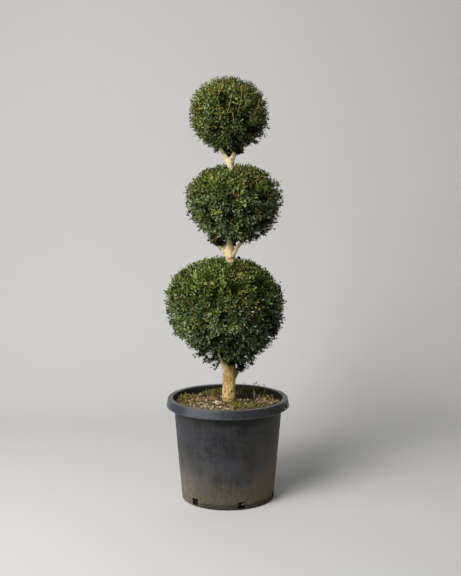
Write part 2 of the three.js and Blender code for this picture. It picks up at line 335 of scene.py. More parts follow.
# One plain material for each tone of a piece's settings, with one roughness and gloss or one for each
def tintMaterials(settings):
    tones = settings["tones"]
    finishes = zip(*[np.broadcast_to(settings[key], len(tones)) for key in ("roughness", "gloss")])
    return [newMaterial(name, *finish, tone)[0] for (name, tone), finish in zip(tones.items(), finishes)]


# What a coat's ramps and patches read: the place on the object, and its x, y and level
def placeInputs(tree):
    place = addNode(tree, "TexCoord").outputs["Object"]
    split = addNode(tree, "SeparateXYZ", {0: place}).outputs
    return {"place": place, "x": split["X"], "y": split["Y"], "level": split["Z"]}


# The mask of a coat: its least share plus a share of its patches, times its ramps. Patches are
# (scale, start, end) and the input if it isn't the place; a ramp is (input, low, high) or an input alone.
def coatMask(tree, inputs, shares, ramps=(), pattern=None):
    least, mask = shares
    if pattern:
        scale, start, end, *other = pattern
        vector = inputs[other[0] if other else "place"]
        spots = useGroup(tree, patches, "Mask", Vector=vector, Scale=scale, Start=start, End=end)
        mask = calc(tree, "ADD", calc(tree, "MULTIPLY", spots, mask), least)
    for name, *ends in ramps:
        value = rampNode(tree, inputs[name], *ends) if ends else inputs[name]
        mask = calc(tree, "MULTIPLY", value, mask)
    return mask


# Coats over a ground colour, one after another, each blended in by its mask; a coat's colour may be
# the name of an input. Returns the colour and the masks by name.
def paintCoats(tree, inputs, ground, coats):
    colour, masks = ground, {}
    for name, tone, *mask in coats:
        masks[name] = coatMask(tree, inputs, *mask)
        colour = blendColour(tree, masks[name], colour, inputs[tone] if isinstance(tone, str) else tone)
    return colour, masks


# Joins a colour and a bump of grit to the shader; the grain is a coarse and a fine scale and a depth
def joinSkin(tree, shader, colour, place, grain):
    coarse, fine, depth = grain
    height = useGroup(tree, grit, "Height", Vector=place, Coarse=coarse, Fine=fine)
    bump = addNode(tree, "Bump", {"Height": height, "Distance": depth, "Strength": 1.0})
    tree.links.new(colour, shader.inputs["Base Color"])
    tree.links.new(bump.outputs["Normal"], shader.inputs["Normal"])


# Camera and studio

camera = {"lens": 61.925, "sensor": 36, "clipEnd": 100, "x": 8.5, "distance": 3162, "height": 1080.4,
          "pitch": 7.06}
studio = {"halfWidth": 6000, "front": -4500, "back": 920, "round": 835, "height": 4200, "steps": 25,
          "tone": (0.72, 0.72, 0.722), "roughness": 0.95, "gloss": 0.1}
lampColour = (1.0, 0.98, 0.94)
lamps = {
    "key": {"place": (-2023, -2671, 2995), "aim": (36, -73, 619), "size": 2555,
            "spread": 126.2, "watts": 92.5},
    "sideFill": {"place": (-3122, -971, 1447), "aim": (0, 0, 600), "size": 1622, "spread": 96, "watts": 7.1},
}
ambient = {"colour": (0.98, 0.99, 1.0), "strength": 0.087, "slope": (0.53, -0.67, 0.49)}
eye = np.array([camera["x"], -camera["distance"], camera["height"]])


# The camera stands at the eye and is pitched down from the level
def makeCamera():
    data = bpy.data.cameras.new("camera")
    data.lens = camera["lens"]
    data.sensor_width = camera["sensor"]
    data.clip_end = camera["clipEnd"]
    view = bpy.data.objects.new("camera", data)
    view.location = eye * mm
    view.rotation_euler = (math.radians(90 - camera["pitch"]), 0, 0)
    bpy.context.scene.collection.objects.link(view)
    bpy.context.scene.camera = view


# The backdrop is one sheet: a floor that turns up into a wall by a quarter circle.
# Its back is clear, so that the part can be looked at from behind.
def makeStudio():
    turn = np.linspace(0, math.pi / 2, studio["steps"])
    back, bend = studio["back"], studio["round"]
    rounded = np.stack([back + bend * np.sin(turn), bend * (1 - np.cos(turn))], 1)
    line = np.vstack([[studio["front"], 0], rounded, [back + bend, studio["height"]]])
    side = np.array([[-1, 1]]) * studio["halfWidth"]
    points = np.stack(np.broadcast_arrays(side, line[:, :1], line[:, 1:]), -1)
    paper, tree, shader = newMaterial("backdropPaper", studio["roughness"], studio["gloss"], studio["tone"])
    behind = addNode(tree, "NewGeometry").outputs["Backfacing"]
    clear = addNode(tree, "BsdfTransparent").outputs["BSDF"]
    oneSided = addNode(tree, "MixShader", {0: behind, 1: shader.outputs["BSDF"], 2: clear}).outputs["Shader"]
    tree.links.new(oneSided, tree.nodes["Material Output"].inputs["Surface"])
    newPiece("backdrop", points, [gridFaces(len(line), 2, False)], [paper])


# A soft round lamp turned to the point it lights
def makeLamp(name, settings):
    data = bpy.data.lights.new(name, "AREA")
    data.shape = "DISK"
    data.size = settings["size"] * mm
    data.energy = settings["watts"]
    data.spread = math.radians(settings["spread"])
    data.color = lampColour
    lamp = bpy.data.objects.new(name, data)
    bpy.context.scene.collection.objects.link(lamp)
    lamp.location = np.array(settings["place"]) * mm
    aim = Vector(np.array(settings["aim"]) * mm) - lamp.location
    lamp.rotation_euler = aim.to_track_quat("-Z", "Y").to_euler()


# Air that is brighter the more a direction leans along the slope:
# strength * (1 + slope . direction), never below nothing
def makeAir():
    world = bpy.data.worlds.new("studio")
    world.use_nodes = True
    tree = world.node_tree
    air = tree.nodes["Background"]
    air.inputs["Color"].default_value = (*ambient["colour"], 1)
    way = addNode(tree, "TexCoord").outputs["Generated"]
    slope = addNode(tree, "VectorMath", {0: way, 1: ambient["slope"]}, operation="DOT_PRODUCT")
    strength = calc(tree, "MULTIPLY", calc(tree, "ADD", slope.outputs["Value"], 1.0), ambient["strength"])
    tree.links.new(calc(tree, "MAXIMUM", strength, 0.0), air.inputs["Strength"])
    bpy.context.scene.world = world
    bpy.context.scene.view_settings.view_transform = "Standard"


makeCamera()
makeStudio()
for lampName, lampSettings in lamps.items():
    makeLamp(lampName, lampSettings)
makeAir()
print("stage: camera, backdrop and lights")


# The pot

pot = {
    "height": 332, "footRadius": 150, "footRound": 3, "floor": 4, "wall": 3, "neckRadius": 175.5,
    "neckRound": 8, "mouthRadius": 179, "mouthRound": 2, "rimRadius": 195, "rimRound": 3.5,
    "collarRadius": 200, "collarDrop": 27, "edgeRound": 1.3, "columns": 240, "edgeApart": 0.4,
    "rowStep": 14, "arcSteps": 5, "warp": 0.8, "warpCell": 110, "warpFrom": (20, 120), "seed": 5,
}
drain = {"count": 6, "width": 24, "low": 4.5, "high": 26.5, "rows": 5, "firstTurn": 16.5}
handSlot = {"count": 2, "width": 19, "low": 308, "high": 321, "rows": 4, "firstTurn": 70}
collarRibs = {"count": 12, "thick": 2.2, "rise": 1, "sunk": 0.6, "firstTurn": 75}
neckLevel = pot["height"] - pot["collarDrop"]
rimLevel = pot["height"] - pot["rimRound"]


# Outside radius of the pot's wall at a level: a straight taper from foot to neck
def bodyRadius(level):
    return pot["footRadius"] + (pot["neckRadius"] - pot["footRadius"]) * level / neckLevel


# Radius of the collar's outer face at a level: a straight taper from its lower edge to the rim
def collarRadius(level):
    share = (level - neckLevel) / (rimLevel - neckLevel)
    return pot["collarRadius"] + (pot["rimRadius"] - pot["collarRadius"]) * share


# Inside radius of the pot's wall at a level: the outside less the wall
def innerRadius(level):
    return bodyRadius(level) - pot["wall"]


# A profile of corners (radius, level, round): each round becomes an arc that touches both edges,
# and long edges get points about a row step apart
def filleted(corners):
    places = [np.array(corner[:2], float) for corner in corners]
    line = [places[0]]
    rounds = [corner[2] for corner in corners]
    for before, corner, after, bend in zip(places[:-2], places[1:-1], places[2:], rounds[1:-1]):
        if bend == 0:
            line.append(corner)
            continue
        back, on = unit(before - corner), unit(after - corner)
        half = math.acos(np.clip(back @ on, -1, 1)) / 2
        centre = corner + unit(back + on) * bend / math.sin(half)
        start = corner + back * bend / math.tan(half) - centre
        end = corner + on * bend / math.tan(half) - centre
        turn = math.pi - 2 * half
        t = evenSteps(pot["arcSteps"])[:, None]
        line.extend(centre + (np.sin((1 - t) * turn) * start + np.sin(t * turn) * end) / math.sin(turn))
    line.append(places[-1])
    dense = [line[0]]
    for here, there in zip(line[:-1], line[1:]):
        steps = max(1, round(np.linalg.norm(there - here) / pot["rowStep"]))
        dense.extend(here + (there - here) * k / steps for k in range(1, steps + 1))
    return np.array(dense)


# Plain corners in even steps along a wall beside an opening, set in by an inset
def ladder(opening, radiusAt, ends, inset=0):
    levels = np.linspace(opening[ends[0]], opening[ends[1]], opening["rows"])
    return [(radiusAt(level) - inset, level, 0) for level in levels]


# Even turns from a first one, in radians right of the front
def turnsFrom(settings):
    return np.radians(settings["firstTurn"] + np.arange(settings["count"]) * 360 / settings["count"])


# The left and right turn of each opening of a row
def openingTurns(opening, radius):
    turn = turnsFrom(opening)
    half = opening["width"] / 2 / radius
    return np.stack([turn - half, turn + half], 1) % circle


# The pot is its profile turned round the axis. Where an opening pierces the wall, the quads of
# the outer and inner faces are left out and four strips of quads line the edge between them.
def makePot(material):
    wall, height, neck, collar = pot["wall"], pot["height"], pot["neckRadius"], pot["collarRadius"]
    mouth, mouthRound, edgeRound = pot["mouthRadius"], pot["mouthRound"], pot["edgeRound"]
    drainOut = ladder(drain, bodyRadius, ("low", "high"))
    drainIn = ladder(drain, innerRadius, ("high", "low"))
    slotOut = ladder(handSlot, collarRadius, ("low", "high"))
    slotIn = ladder(handSlot, collarRadius, ("high", "low"), wall)
    profile = filleted([
        (0, 0, 0), (pot["footRadius"], 0, pot["footRound"]), *drainOut, (neck, neckLevel, 0),
        (mouth + wall, rimLevel, mouthRound), (collarRadius(rimLevel) - wall, rimLevel, mouthRound), *slotIn,
        (collar - wall, neckLevel, edgeRound), (collar, neckLevel, edgeRound), *slotOut,
        (pot["rimRadius"], height, pot["rimRound"]), (mouth, height, mouthRound),
        (neck - wall, neckLevel, pot["neckRound"]), *drainIn, (innerRadius(pot["floor"]), pot["floor"], 0),
        (0, pot["floor"], 0)])
    drains = openingTurns(drain, pot["footRadius"])
    slots = openingTurns(handSlot, pot["collarRadius"])
    edges = np.concatenate([drains.ravel(), slots.ravel()])
    even = evenTurns(pot["columns"])
    gap = np.abs((even[:, None] - edges + math.pi) % circle - math.pi).min(1)
    turns = np.sort(np.concatenate([even[gap > pot["edgeApart"] * even[1]], edges]))
    rows, columns = len(profile), len(turns)
    radius, level = profile[:, :1], profile[:, 1:]
    around = turnedPoints(pot["footRadius"], level, turns)
    sway = pot["warp"] * cloud(around, pot["warpCell"], pot["seed"]) * ramp(level, *pot["warpFrom"])
    points = turnedPoints(np.where(radius > 1, radius + sway, radius), level, turns)
    kept = np.ones((rows - 1, columns), bool)
    lining = []
    for windows, outer, inner in ((drains, drainOut, drainIn), (slots, slotOut, slotIn)):
        step = np.arange(len(outer))
        outRows = np.argmin(np.linalg.norm(profile - outer[0][:2], axis=1)) + step
        inRows = np.argmin(np.linalg.norm(profile - inner[-1][:2], axis=1)) - step
        for left, right in windows:
            first, last = np.argmin(np.abs(turns - left)), np.argmin(np.abs(turns - right))
            span = (first + np.arange((last - first) % columns + 1)) % columns
            kept[np.ix_(outRows[:-1], span[:-1])] = False
            kept[np.ix_(inRows[1:], span[:-1])] = False
            for column in (span[0], span[-1]):
                ring = np.stack([outRows, inRows]) * columns + column
                lining.append(np.stack([ring[0, :-1], ring[1, :-1], ring[1, 1:], ring[0, 1:]], 1))
            for row in (0, -1):
                ring = np.stack([outRows[row] * columns + span, inRows[row] * columns + span])
                lining.append(np.stack([ring[0, :-1], ring[0, 1:], ring[1, 1:], ring[1, :-1]], 1))
    piece = newPiece("pot_shell", points, [gridFaces(rows, columns, True)[kept.ravel()]] + lining, [material])
    tidyShell(piece)
    dress(piece, "pot_plastic", "pot")


# Ribs that stiffen the collar: upright plates from the wall to the collar's inner face, each a
# four-cornered outline given its thickness across
def makeCollarRibs(material):
    low = neckLevel + collarRibs["rise"]
    inner = pot["wall"] - collarRibs["sunk"]
    corners = np.array([(pot["neckRadius"], low), (collarRadius(low) - inner, low),
                        (collarRadius(rimLevel) - inner, rimLevel), (pot["mouthRadius"] + inner, rimLevel)])
    turn = turnsFrom(collarRibs)
    out = turnedPoints(1, 0, turn)[:, None, None]
    across = np.stack([np.cos(turn), np.sin(turn), np.zeros_like(turn)], -1)[:, None, None]
    side = np.array([-0.5, 0.5])[None, :, None, None] * collarRibs["thick"]
    points = out * corners[None, None, :, :1] + up * corners[None, None, :, 1:] + across * side
    plate = np.array([[0, 1, 2, 3], [7, 6, 5, 4], [0, 4, 5, 1], [1, 5, 6, 2], [2, 6, 7, 3], [3, 7, 4, 0]])
    plates = repeated(plate, len(turn), 2 * len(corners))
    piece = newPiece("collar_ribs", points, [plates], [material], smooth=False)
    tidyShell(piece)
    dress(piece, "pot_plastic")


# The plastic's coats: name, colour, (least, share), ramps and patches
plasticGround = (0.009, 0.0102, 0.0128)
plasticCoats = (
    ("bluish", (0.034, 0.038, 0.054), (0, 1), (), (11.0, 0.35, 0.7)),
    ("dark", (0.013, 0.0135, 0.012), (0, 0.5), (), (34.0, 0.5, 0.72)),
    ("mottled", (0.066, 0.069, 0.074), (0, 0.45), (), (120.0, 0.45, 0.72)),
    ("streaks", (0.06, 0.061, 0.06), (0, 0.4), (), (130.0, 0.48, 0.78, "drawn")),
    ("olive", (0.042, 0.042, 0.03), (0, 0.4), (), (6.0, 0.42, 0.66)),
    ("film", (0.046, 0.042, 0.026), (0, 0.5), (("x", 0.05, 0.13), ("level", 0.1, 0.2))),
    # pale dust low on the pot, partly real dust and partly painted light, more towards the lit left side
    ("grime", (0.15, 0.138, 0.118), (0.36, 0.5), (("level", 0.27, 0.0), ("x", 0.04, -0.15)),
     (60.0, 0.3, 0.7, "drawn")),
    ("mud", (0.124, 0.098, 0.063), (0.6, 0.5), (("mudLevel", 0.088, -0.05),), (60.0, 0.3, 0.62)),
    # pale far-left lower edge, partly dust and partly painted light where the lit left edge catches the key
    # lamp and floor bounce
    ("pale", (0.27, 0.235, 0.185), (0.15, 0.45), (("level", 0.15, 0.05), ("x", -0.095, -0.14)),
     (42.0, 0.3, 0.65)),
    ("brown", (0.14, 0.106, 0.05), (0, 0.5), (("level", 0.26, 0.05), ("x", 0.02, 0.14))),
    # painted shadow of the collar, a dark band just under it in the middle of the front
    ("neck", (0.004, 0.004, 0.004), (0, 0.95),
     (("level", 0.266, 0.287), ("x", -0.07, -0.02), ("x", 0.2, 0.06))),
    ("algae", (0.06, 0.064, 0.042), (0, 0.6), (("level", 0.09, 0.01),), (22.0, 0.48, 0.68)),
    ("specks", (0.035, 0.03, 0.022), (0, 0.5), (("level", 0.07, 0.015),), (110.0, 0.5, 0.68)),
    # painted shade band along the foot's rounded lower edge, on all but the lit left part
    ("foot", (0.03, 0.031, 0.026), (0, 0.9), (("shadedFootLevel", 0.016, 0.011), ("x", -0.115, -0.06))),
    # the collar coat lays on the collar's painted highlight and painted shade
    ("collar", "collarTone", (0.45, 0.3), (("level", 0.3, 0.306),), (50.0, 0.3, 0.7)),
    # lighter lower edge of the collar, partly wear and partly a painted highlight
    ("worn", (0.15, 0.15, 0.145), (0.15, 0.4), (("level", 0.3085, 0.3062), ("radius", 0.195, 0.199)),
     (50.0, 0.3, 0.7)),
    # lighter rim top, partly scuffs and partly a painted highlight
    ("rim", (0.11, 0.108, 0.096), (0.3, 0.4), (("level", 0.3295, 0.3315),), (50.0, 0.3, 0.7)),
    # painted shade on the inside of the mouth under the rim
    ("inside", (0.005, 0.0055, 0.005), (0, 0.9),
     (("radius", 0.1808, 0.179), ("level", 0.3, 0.306), ("level", 0.3318, 0.3285))),
    # painted shade in the drain holes and on the pot's floor and underside
    ("lining", (0.006, 0.006, 0.005), (0, 0.85), (("radius", 0.1503, 0.1495), ("level", 0.03, 0.027))),
)
# The collar's painted light from left to right: its pale ground is a painted highlight left of the middle,
# and painted shade darkens it at the far left edge, across the middle and most on the right
collarHighlightGround = (0.098, 0.114, 0.136)
collarShadeCoats = (("end", (0.035, 0.045, 0.064), (0, 1), (("x", -0.115, -0.145),)),
               ("middle", (0.042, 0.048, 0.057), (0, 1), (("x", -0.1, 0.085),)),
               ("right", (0.012, 0.0135, 0.0145), (0, 1), (("x", 0.12, 0.178),)))
# What raises the edge of the mud and of the painted shade band at the foot, as masks of (least, share), ramps
# and patches
raggedLevels = {"mudLevel": (((0, 0.05), (), (26.0, 0.2, 0.8)),
                             ((0, 0.03), (), (95.0, 0.3, 0.7, "drawn")),
                             ((0, 0.05), (("x", 0.06, 0.16),))),
                "shadedFootLevel": (((0, 0.008), (), (75.0, 0.3, 0.7)),)}
plasticFinish = {"gloss": 0.3, "drawn": (1, 1, 0.06), "grain": (120.0, 900.0, 0.0009), "roughness": 0.5,
                 "rougher": {"mud": 0.3, "streaks": 0.3, "inside": 0.444, "collar": -0.33}}


# Black plastic that has stood outdoors: bluish charcoal, mottled and streaked, with an olive film, mud below,
# pale dust low down and on the far left that is partly painted light on the lit left side, a painted shade
# band at the foot, specks and algae, a painted shadow under the collar, a collar of painted highlight and
# painted shade with a lower edge that is partly wear and partly a painted highlight, a rim top that is partly
# scuffs and partly a painted highlight, and painted shade inside the mouth and in the drain holes. Its
# roughness is a plain one plus parts of the masks.
def weatheredPlastic():
    material, tree, shader = newMaterial("weatheredPlastic", gloss=plasticFinish["gloss"])
    inputs = placeInputs(tree)
    flat = addNode(tree, "CombineXYZ", {"X": inputs["x"], "Y": inputs["y"]}).outputs[0]
    inputs["radius"] = addNode(tree, "VectorMath", {0: flat}, operation="LENGTH").outputs["Value"]
    stretch = {"Vector": inputs["place"], "Scale": plasticFinish["drawn"]}
    inputs["drawn"] = addNode(tree, "Mapping", stretch).outputs["Vector"]
    for name, parts in raggedLevels.items():
        inputs[name] = inputs["level"]
        for part in parts:
            inputs[name] = calc(tree, "SUBTRACT", inputs[name], coatMask(tree, inputs, *part))
    inputs["collarTone"] = paintCoats(tree, inputs, collarHighlightGround, collarShadeCoats)[0]
    colour, masks = paintCoats(tree, inputs, plasticGround, plasticCoats)
    dull = plasticFinish["roughness"]
    for name, part in plasticFinish["rougher"].items():
        dull = calc(tree, "ADD", calc(tree, "MULTIPLY", masks[name], part), dull)
    tree.links.new(dull, shader.inputs["Roughness"])
    joinSkin(tree, shader, colour, inputs["place"], plasticFinish["grain"])
    return material


potMaterial = weatheredPlastic()
makePot(potMaterial)
makeCollarRibs(potMaterial)
print("pot: shell with drain holes, hand slots and collar ribs")


# Soil, crumbs, stones and moss

soil = {"seat": 318, "seatRadius": 34, "shoulder": 316, "shoulderRadius": 105, "edge": 313, "edgeDrop": 12,
        "rows": 90, "columns": 220, "clod": 3.0, "clods": ((34, 1), (13, 0.6), (5, 0.35)),
        "clodFrom": (18, 45), "gap": 0.4, "sideRows": 12, "sideEnd": 60, "foot": 26, "footDrawn": 20,
        "under": 8, "seed": 3}
crumbs = {
    "count": 2700, "small": 1.8, "large": 7.5, "sunk": 0.3, "seed": 17, "inmost": 0.03, "areaShare": 0.72,
    "areaEdge": (0.5, 1.15), "roughness": 0.9, "gloss": 0.25,
    "tones": {"crumbTan": (0.3, 0.215, 0.1), "crumbBrown": (0.13, 0.08, 0.038),
              "crumbDark": (0.02, 0.014, 0.01), "crumbPale": (0.6, 0.49, 0.29),
              "crumbRed": (0.18, 0.09, 0.055), "crumbPlum": (0.05, 0.033, 0.03),
              "crumbOrange": (0.34, 0.185, 0.078), "crumbPink": (0.42, 0.27, 0.19),
              "crumbGrey": (0.42, 0.35, 0.23)},
    "shares": (0.23, 0.28, 0.32, 0.06, 0.05, 0.03, 0.02, 0.01, 0),
    "areas": ((-108, 48, 44, "crumbRed"), (-70, 20, 50, "crumbTan"), (60, 80, 55, "crumbPlum"),
              (130, 20, 40, "crumbOrange"), (60, 50, 40, "crumbDark"), (104, 10, 36, "crumbPink"),
              (-100, -62, 34, "crumbGrey"), (-66, -84, 32, "crumbGrey"), (-30, -96, 30, "crumbGrey"),
              (8, -100, 26, "crumbGrey")),
}
paleStones = {"places": ((-40, -26, 8), (-31, -34, 9), (-37, -46, 8), (-25, -46, 7), (-45, -36, 7),
                         (-30, -58, 7), (-20, -36, 6), (-17, -50, 5), (42, -2, 7), (54, 4, 5),
                         (112, -20, 5), (-98, 30, 5), (120, 24, 5), (104, -2, 4.5)),
              "sunk": 0.05, "seed": 8, "roughness": 0.85, "gloss": 0.3,
              "tones": {"stoneCream": (0.72, 0.6, 0.35), "stoneChalk": (0.52, 0.41, 0.25)}}
drainBits = {"turns": (-43.5, -46, 17.5, 14, 19.5), "radius": 146, "level": 13, "spread": 3.5, "size": 5,
             "sizes": (0.6, 1.1), "sunk": 0.5, "seed": 12, "roughness": 0.9, "gloss": 0.25,
             "tones": {"bitTan": (0.2, 0.13, 0.065), "bitBrown": (0.06, 0.04, 0.022)}}
stoneShape = {"stretch": (0.45, 1.0), "dents": (0.75, 1.1)}
moss = {
    "tufts": 760, "blades": 8, "length": 20, "lengths": (0.45, 1.2), "width": 1.5, "rootWidth": 0.7,
    "rise": (12, 70), "scatter": 1.8, "sunk": 1, "middleAt": 0.55, "sag": 0.25, "edge": 2, "nearest": 24,
    "bedSpread": 0.5, "bedShare": 0.5, "seed": 29, "roughness": 0.8, "gloss": 0.3,
    "tones": {"mossOlive": (0.15, 0.142, 0.03), "mossYellow": (0.31, 0.285, 0.065),
              "mossDeep": (0.055, 0.064, 0.015), "mossStraw": (0.36, 0.29, 0.12)},
    "shares": (0.42, 0.28, 0.14, 0.16),
    "beds": ((-140, 46, 21, "mossYellow", 1), (-148, 76, 22, "mossYellow", 1),
             (-48, 126, 36, "mossOlive", 1), (-22, 148, 26, "mossOlive", 1),
             (84, -44, 24, "mossOlive", 0.7), (24, -64, 32, "mossYellow", 0.8),
             (62, 150, 26, "mossDeep", 1.7), (92, 136, 28, "mossDeep", 1.7),
             (124, 108, 24, "mossDeep", 1.5), (28, -16, 15, "mossOlive", 1),
             (-128, -18, 18, "mossYellow", 1), (10, -34, 15, "mossYellow", 0.7),
             (-148, -46, 18, "mossYellow", 0.7), (118, -58, 16, "mossYellow", 0.7),
             (0, -74, 20, "mossYellow", 0.6), (44, -84, 16, "mossOlive", 0.6),
             (34, -98, 18, "mossYellow", 0.6), (72, -84, 18, "mossYellow", 0.6)),
}
compostGround = (0.03, 0.021, 0.013)
compostCoats = (("brown", (0.095, 0.062, 0.032), (0, 1), (), (55.0, 0.35, 0.65)),
                ("flecks", (0.24, 0.17, 0.085), (0, 1), (), (240.0, 0.55, 0.68)),
                ("green", (0.07, 0.075, 0.018), (0, 0.6), (), (22.0, 0.52, 0.66)))
compostFinish = {"roughness": 0.95, "grain": (180.0, 700.0, 0.003)}


# Level of the soil at a place: heaped from the edge to the trunk's seat, with clods
def soilLevel(x, y):
    level = np.interp(np.hypot(x, y), [soil["seatRadius"], soil["shoulderRadius"], innerRadius(soil["edge"])],
                      [soil["seat"], soil["shoulder"], soil["edge"]])
    lumps = clouds(np.stack([x, y, np.zeros_like(x)], -1), soil["clods"], soil["seed"])
    return level + soil["clod"] * lumps * ramp(np.hypot(x, y), *soil["clodFrom"])


# The soil is a closed turned body: a clodded top out to the wall, a side just inside it that
# draws in at the foot, and a flat underside
def makeSoil():
    gap, foot, drawn, floor = soil["gap"], soil["foot"], soil["footDrawn"], pot["floor"] + soil["gap"]
    turn = evenTurns(soil["columns"])
    top = turnedPoints(evenSteps(soil["rows"])[:, None] * (innerRadius(soil["edge"]) - gap), 0.0, turn)
    top[..., 2] = soilLevel(top[..., 0], top[..., 1])
    levels = np.linspace(soil["edge"] - soil["edgeDrop"], soil["sideEnd"], soil["sideRows"])
    lower = np.array([(innerRadius(level) - gap, level) for level in levels]
                     + [(innerRadius(foot) - gap - drawn, foot),
                        (innerRadius(soil["under"]) - gap - drawn, floor), (0, floor)])
    rows = np.concatenate([top, turnedPoints(lower[:, :1], lower[:, 1:], turn)])
    piece = newPiece("soil_body", rows, [gridFaces(len(rows), len(turn), True)], [compost()])
    tidyShell(piece, sharp=180)
    dress(piece, "compost", "soil")


# Damp compost: dark crumbs, brown and tan flecks and green patches, in a rough grain
def compost():
    material, tree, shader = newMaterial("compost", compostFinish["roughness"])
    inputs = placeInputs(tree)
    colour = paintCoats(tree, inputs, compostGround, compostCoats)[0]
    joinSkin(tree, shader, colour, inputs["place"], compostFinish["grain"])
    return material


# The twelve corners and twenty faces of an icosahedron, the rough form of a crumb
def roundStone():
    golden = (1 + math.sqrt(5)) / 2
    signs = [(a, b) for a in (-1, 1) for b in (-1, 1)]
    corners = unit(np.array([[a, b * golden, 0] for a, b in signs] + [[0, a, b * golden] for a, b in signs]
                            + [[a * golden, 0, b] for a, b in signs], float))
    shell = bmesh.new()
    for corner in corners:
        shell.verts.new(corner)
    shell.verts.ensure_lookup_table()
    bmesh.ops.convex_hull(shell, input=shell.verts)
    bmesh.ops.recalc_face_normals(shell, faces=shell.faces)
    shell.verts.index_update()
    faces = np.array([[vertex.index for vertex in face.verts] for face in shell.faces])
    shell.free()
    return corners, faces


# Stones and crumbs: a rough ball stretched three ways, dented, turned at random and set in the soil
def scatterStones(name, settings, x, y, level, size, tint, rng):
    corners, faces = roundStone()
    count = len(size)
    stretch = size[:, None, None] * rng.uniform(*stoneShape["stretch"], (count, 1, 3))
    dents = rng.uniform(*stoneShape["dents"], (count, len(corners), 1))
    shapes = np.einsum("nij,nkj->nki", randomTurns(count, rng), corners[None] * stretch * dents)
    middle = np.stack([x, y, level + size * (0.5 - settings["sunk"])], -1)
    tints = tintMaterials(settings)
    piece = newPiece(name, shapes + middle[:, None], [repeated(faces, count, len(corners))], tints,
                     np.repeat(tint, len(faces)), smooth=False)
    dress(piece, "compost")


# Crumbs all over the soil, even by area, most of them small: small + (large - small) * chance^3.
# Their tones are dealt by share, and in places one tone gathers.
def makeCrumbs():
    rng = np.random.default_rng(crumbs["seed"])
    count = crumbs["count"]
    turn = rng.uniform(0, circle, count)
    out = (innerRadius(soil["edge"]) - crumbs["large"]) * np.sqrt(rng.uniform(crumbs["inmost"], 1, count))
    x, y = out * np.sin(turn), out * np.cos(turn)
    size = crumbs["small"] + (crumbs["large"] - crumbs["small"]) * rng.uniform(0, 1, count) ** 3
    names = list(crumbs["tones"])
    tint = rng.choice(len(names), count, p=crumbs["shares"])
    for areaX, areaY, radius, name in crumbs["areas"]:
        near = np.hypot(x - areaX, y - areaY) < radius * rng.uniform(*crumbs["areaEdge"], count)
        tint = np.where(near & (rng.uniform(size=count) < crumbs["areaShare"]), names.index(name), tint)
    scatterStones("soil_crumbs", crumbs, x, y, soilLevel(x, y), size, tint, rng)


# Pale stones at their own places on the soil, of two tones in turn
def makePaleStones():
    rng = np.random.default_rng(paleStones["seed"])
    x, y, size = np.array(paleStones["places"], float).T
    scatterStones("pale_stones", paleStones, x, y, soilLevel(x, y), size, np.arange(len(size)) % 2, rng)


# Bits of bark and soil lodged in the drain holes, at turns right of the front
def makeDrainBits():
    rng = np.random.default_rng(drainBits["seed"])
    turn = np.radians(drainBits["turns"])
    count = len(turn)
    level = drainBits["level"] + drainBits["spread"] * rng.normal(size=count)
    size = drainBits["size"] * rng.uniform(*drainBits["sizes"], count)
    x, y = drainBits["radius"] * np.sin(turn), -drainBits["radius"] * np.cos(turn)
    scatterStones("drain_bits", drainBits, x, y, level, size, np.arange(count) % 2, rng)


# Moss: tufts of narrow blades that rise and lie over, each a ribbon of three points that narrows
# to its tip. Tufts gather in beds, scattered about each bed's middle.
def makeMoss():
    rng = np.random.default_rng(moss["seed"])
    bedX, bedY, bedRadius = np.array([bed[:3] for bed in moss["beds"]], float).T
    chosen = rng.choice(len(bedX), moss["tufts"], p=bedRadius ** 2 / np.sum(bedRadius ** 2))
    spread = bedRadius[chosen] * moss["bedSpread"]
    x = bedX[chosen] + spread * rng.normal(size=moss["tufts"])
    y = bedY[chosen] + spread * rng.normal(size=moss["tufts"])
    limit = innerRadius(soil["edge"]) - moss["edge"]
    grown = (np.hypot(x, y) < limit - moss["edge"]) & (np.hypot(x, y) > moss["nearest"])
    x, y, chosen = x[grown], y[grown], chosen[grown]
    count, blades = len(x), moss["blades"]
    turn = rng.uniform(0, circle, (count, blades))
    rise = np.radians(rng.uniform(*moss["rise"], (count, blades)))
    tall = np.array([bed[4] for bed in moss["beds"]])[chosen]
    length = moss["length"] * tall[:, None] * rng.uniform(*moss["lengths"], (count, blades))
    heading = raised(turn, rise)
    across = turnedPoints(-1, 0, turn)
    scatter = rng.normal(0, moss["scatter"], (count, blades, 3)) * [1, 1, 0]
    root = np.stack([x, y, soilLevel(x, y) - moss["sunk"]], -1)[:, None] + scatter
    middle = root + heading * length[..., None] * moss["middleAt"]
    tip = root + heading * length[..., None] - up * (length * moss["sag"])[..., None]
    half = across * moss["width"] / 2
    foot = half * moss["rootWidth"]
    points = np.stack([root - foot, root + foot, middle + half, middle - half, tip], 2)
    radius = np.linalg.norm(points[..., :2], axis=-1, keepdims=True)
    points[..., :2] *= np.minimum(1, limit / np.maximum(radius, 1))
    blade = ([0, 1, 2, 3], [3, 2, 4])
    faces = [repeated(np.array([face]), count * blades, points.shape[2]) for face in blade]
    names = list(moss["tones"])
    bedTint = np.array([names.index(bed[3]) for bed in moss["beds"]])[chosen]
    inTone = rng.uniform(size=count) < moss["bedShare"]
    tint = np.where(inTone, bedTint, rng.choice(len(names), count, p=moss["shares"]))
    tints = tintMaterials(moss)
    dress(newPiece("soil_moss", points, faces, tints, faceTints(np.repeat(tint, blades), faces)), "compost")


makeSoil()
makeCrumbs()
makePaleStones()
makeDrainBits()
makeMoss()
print("soil: body, crumbs, pale stones, drain bits and moss")


# Trunk and boughs

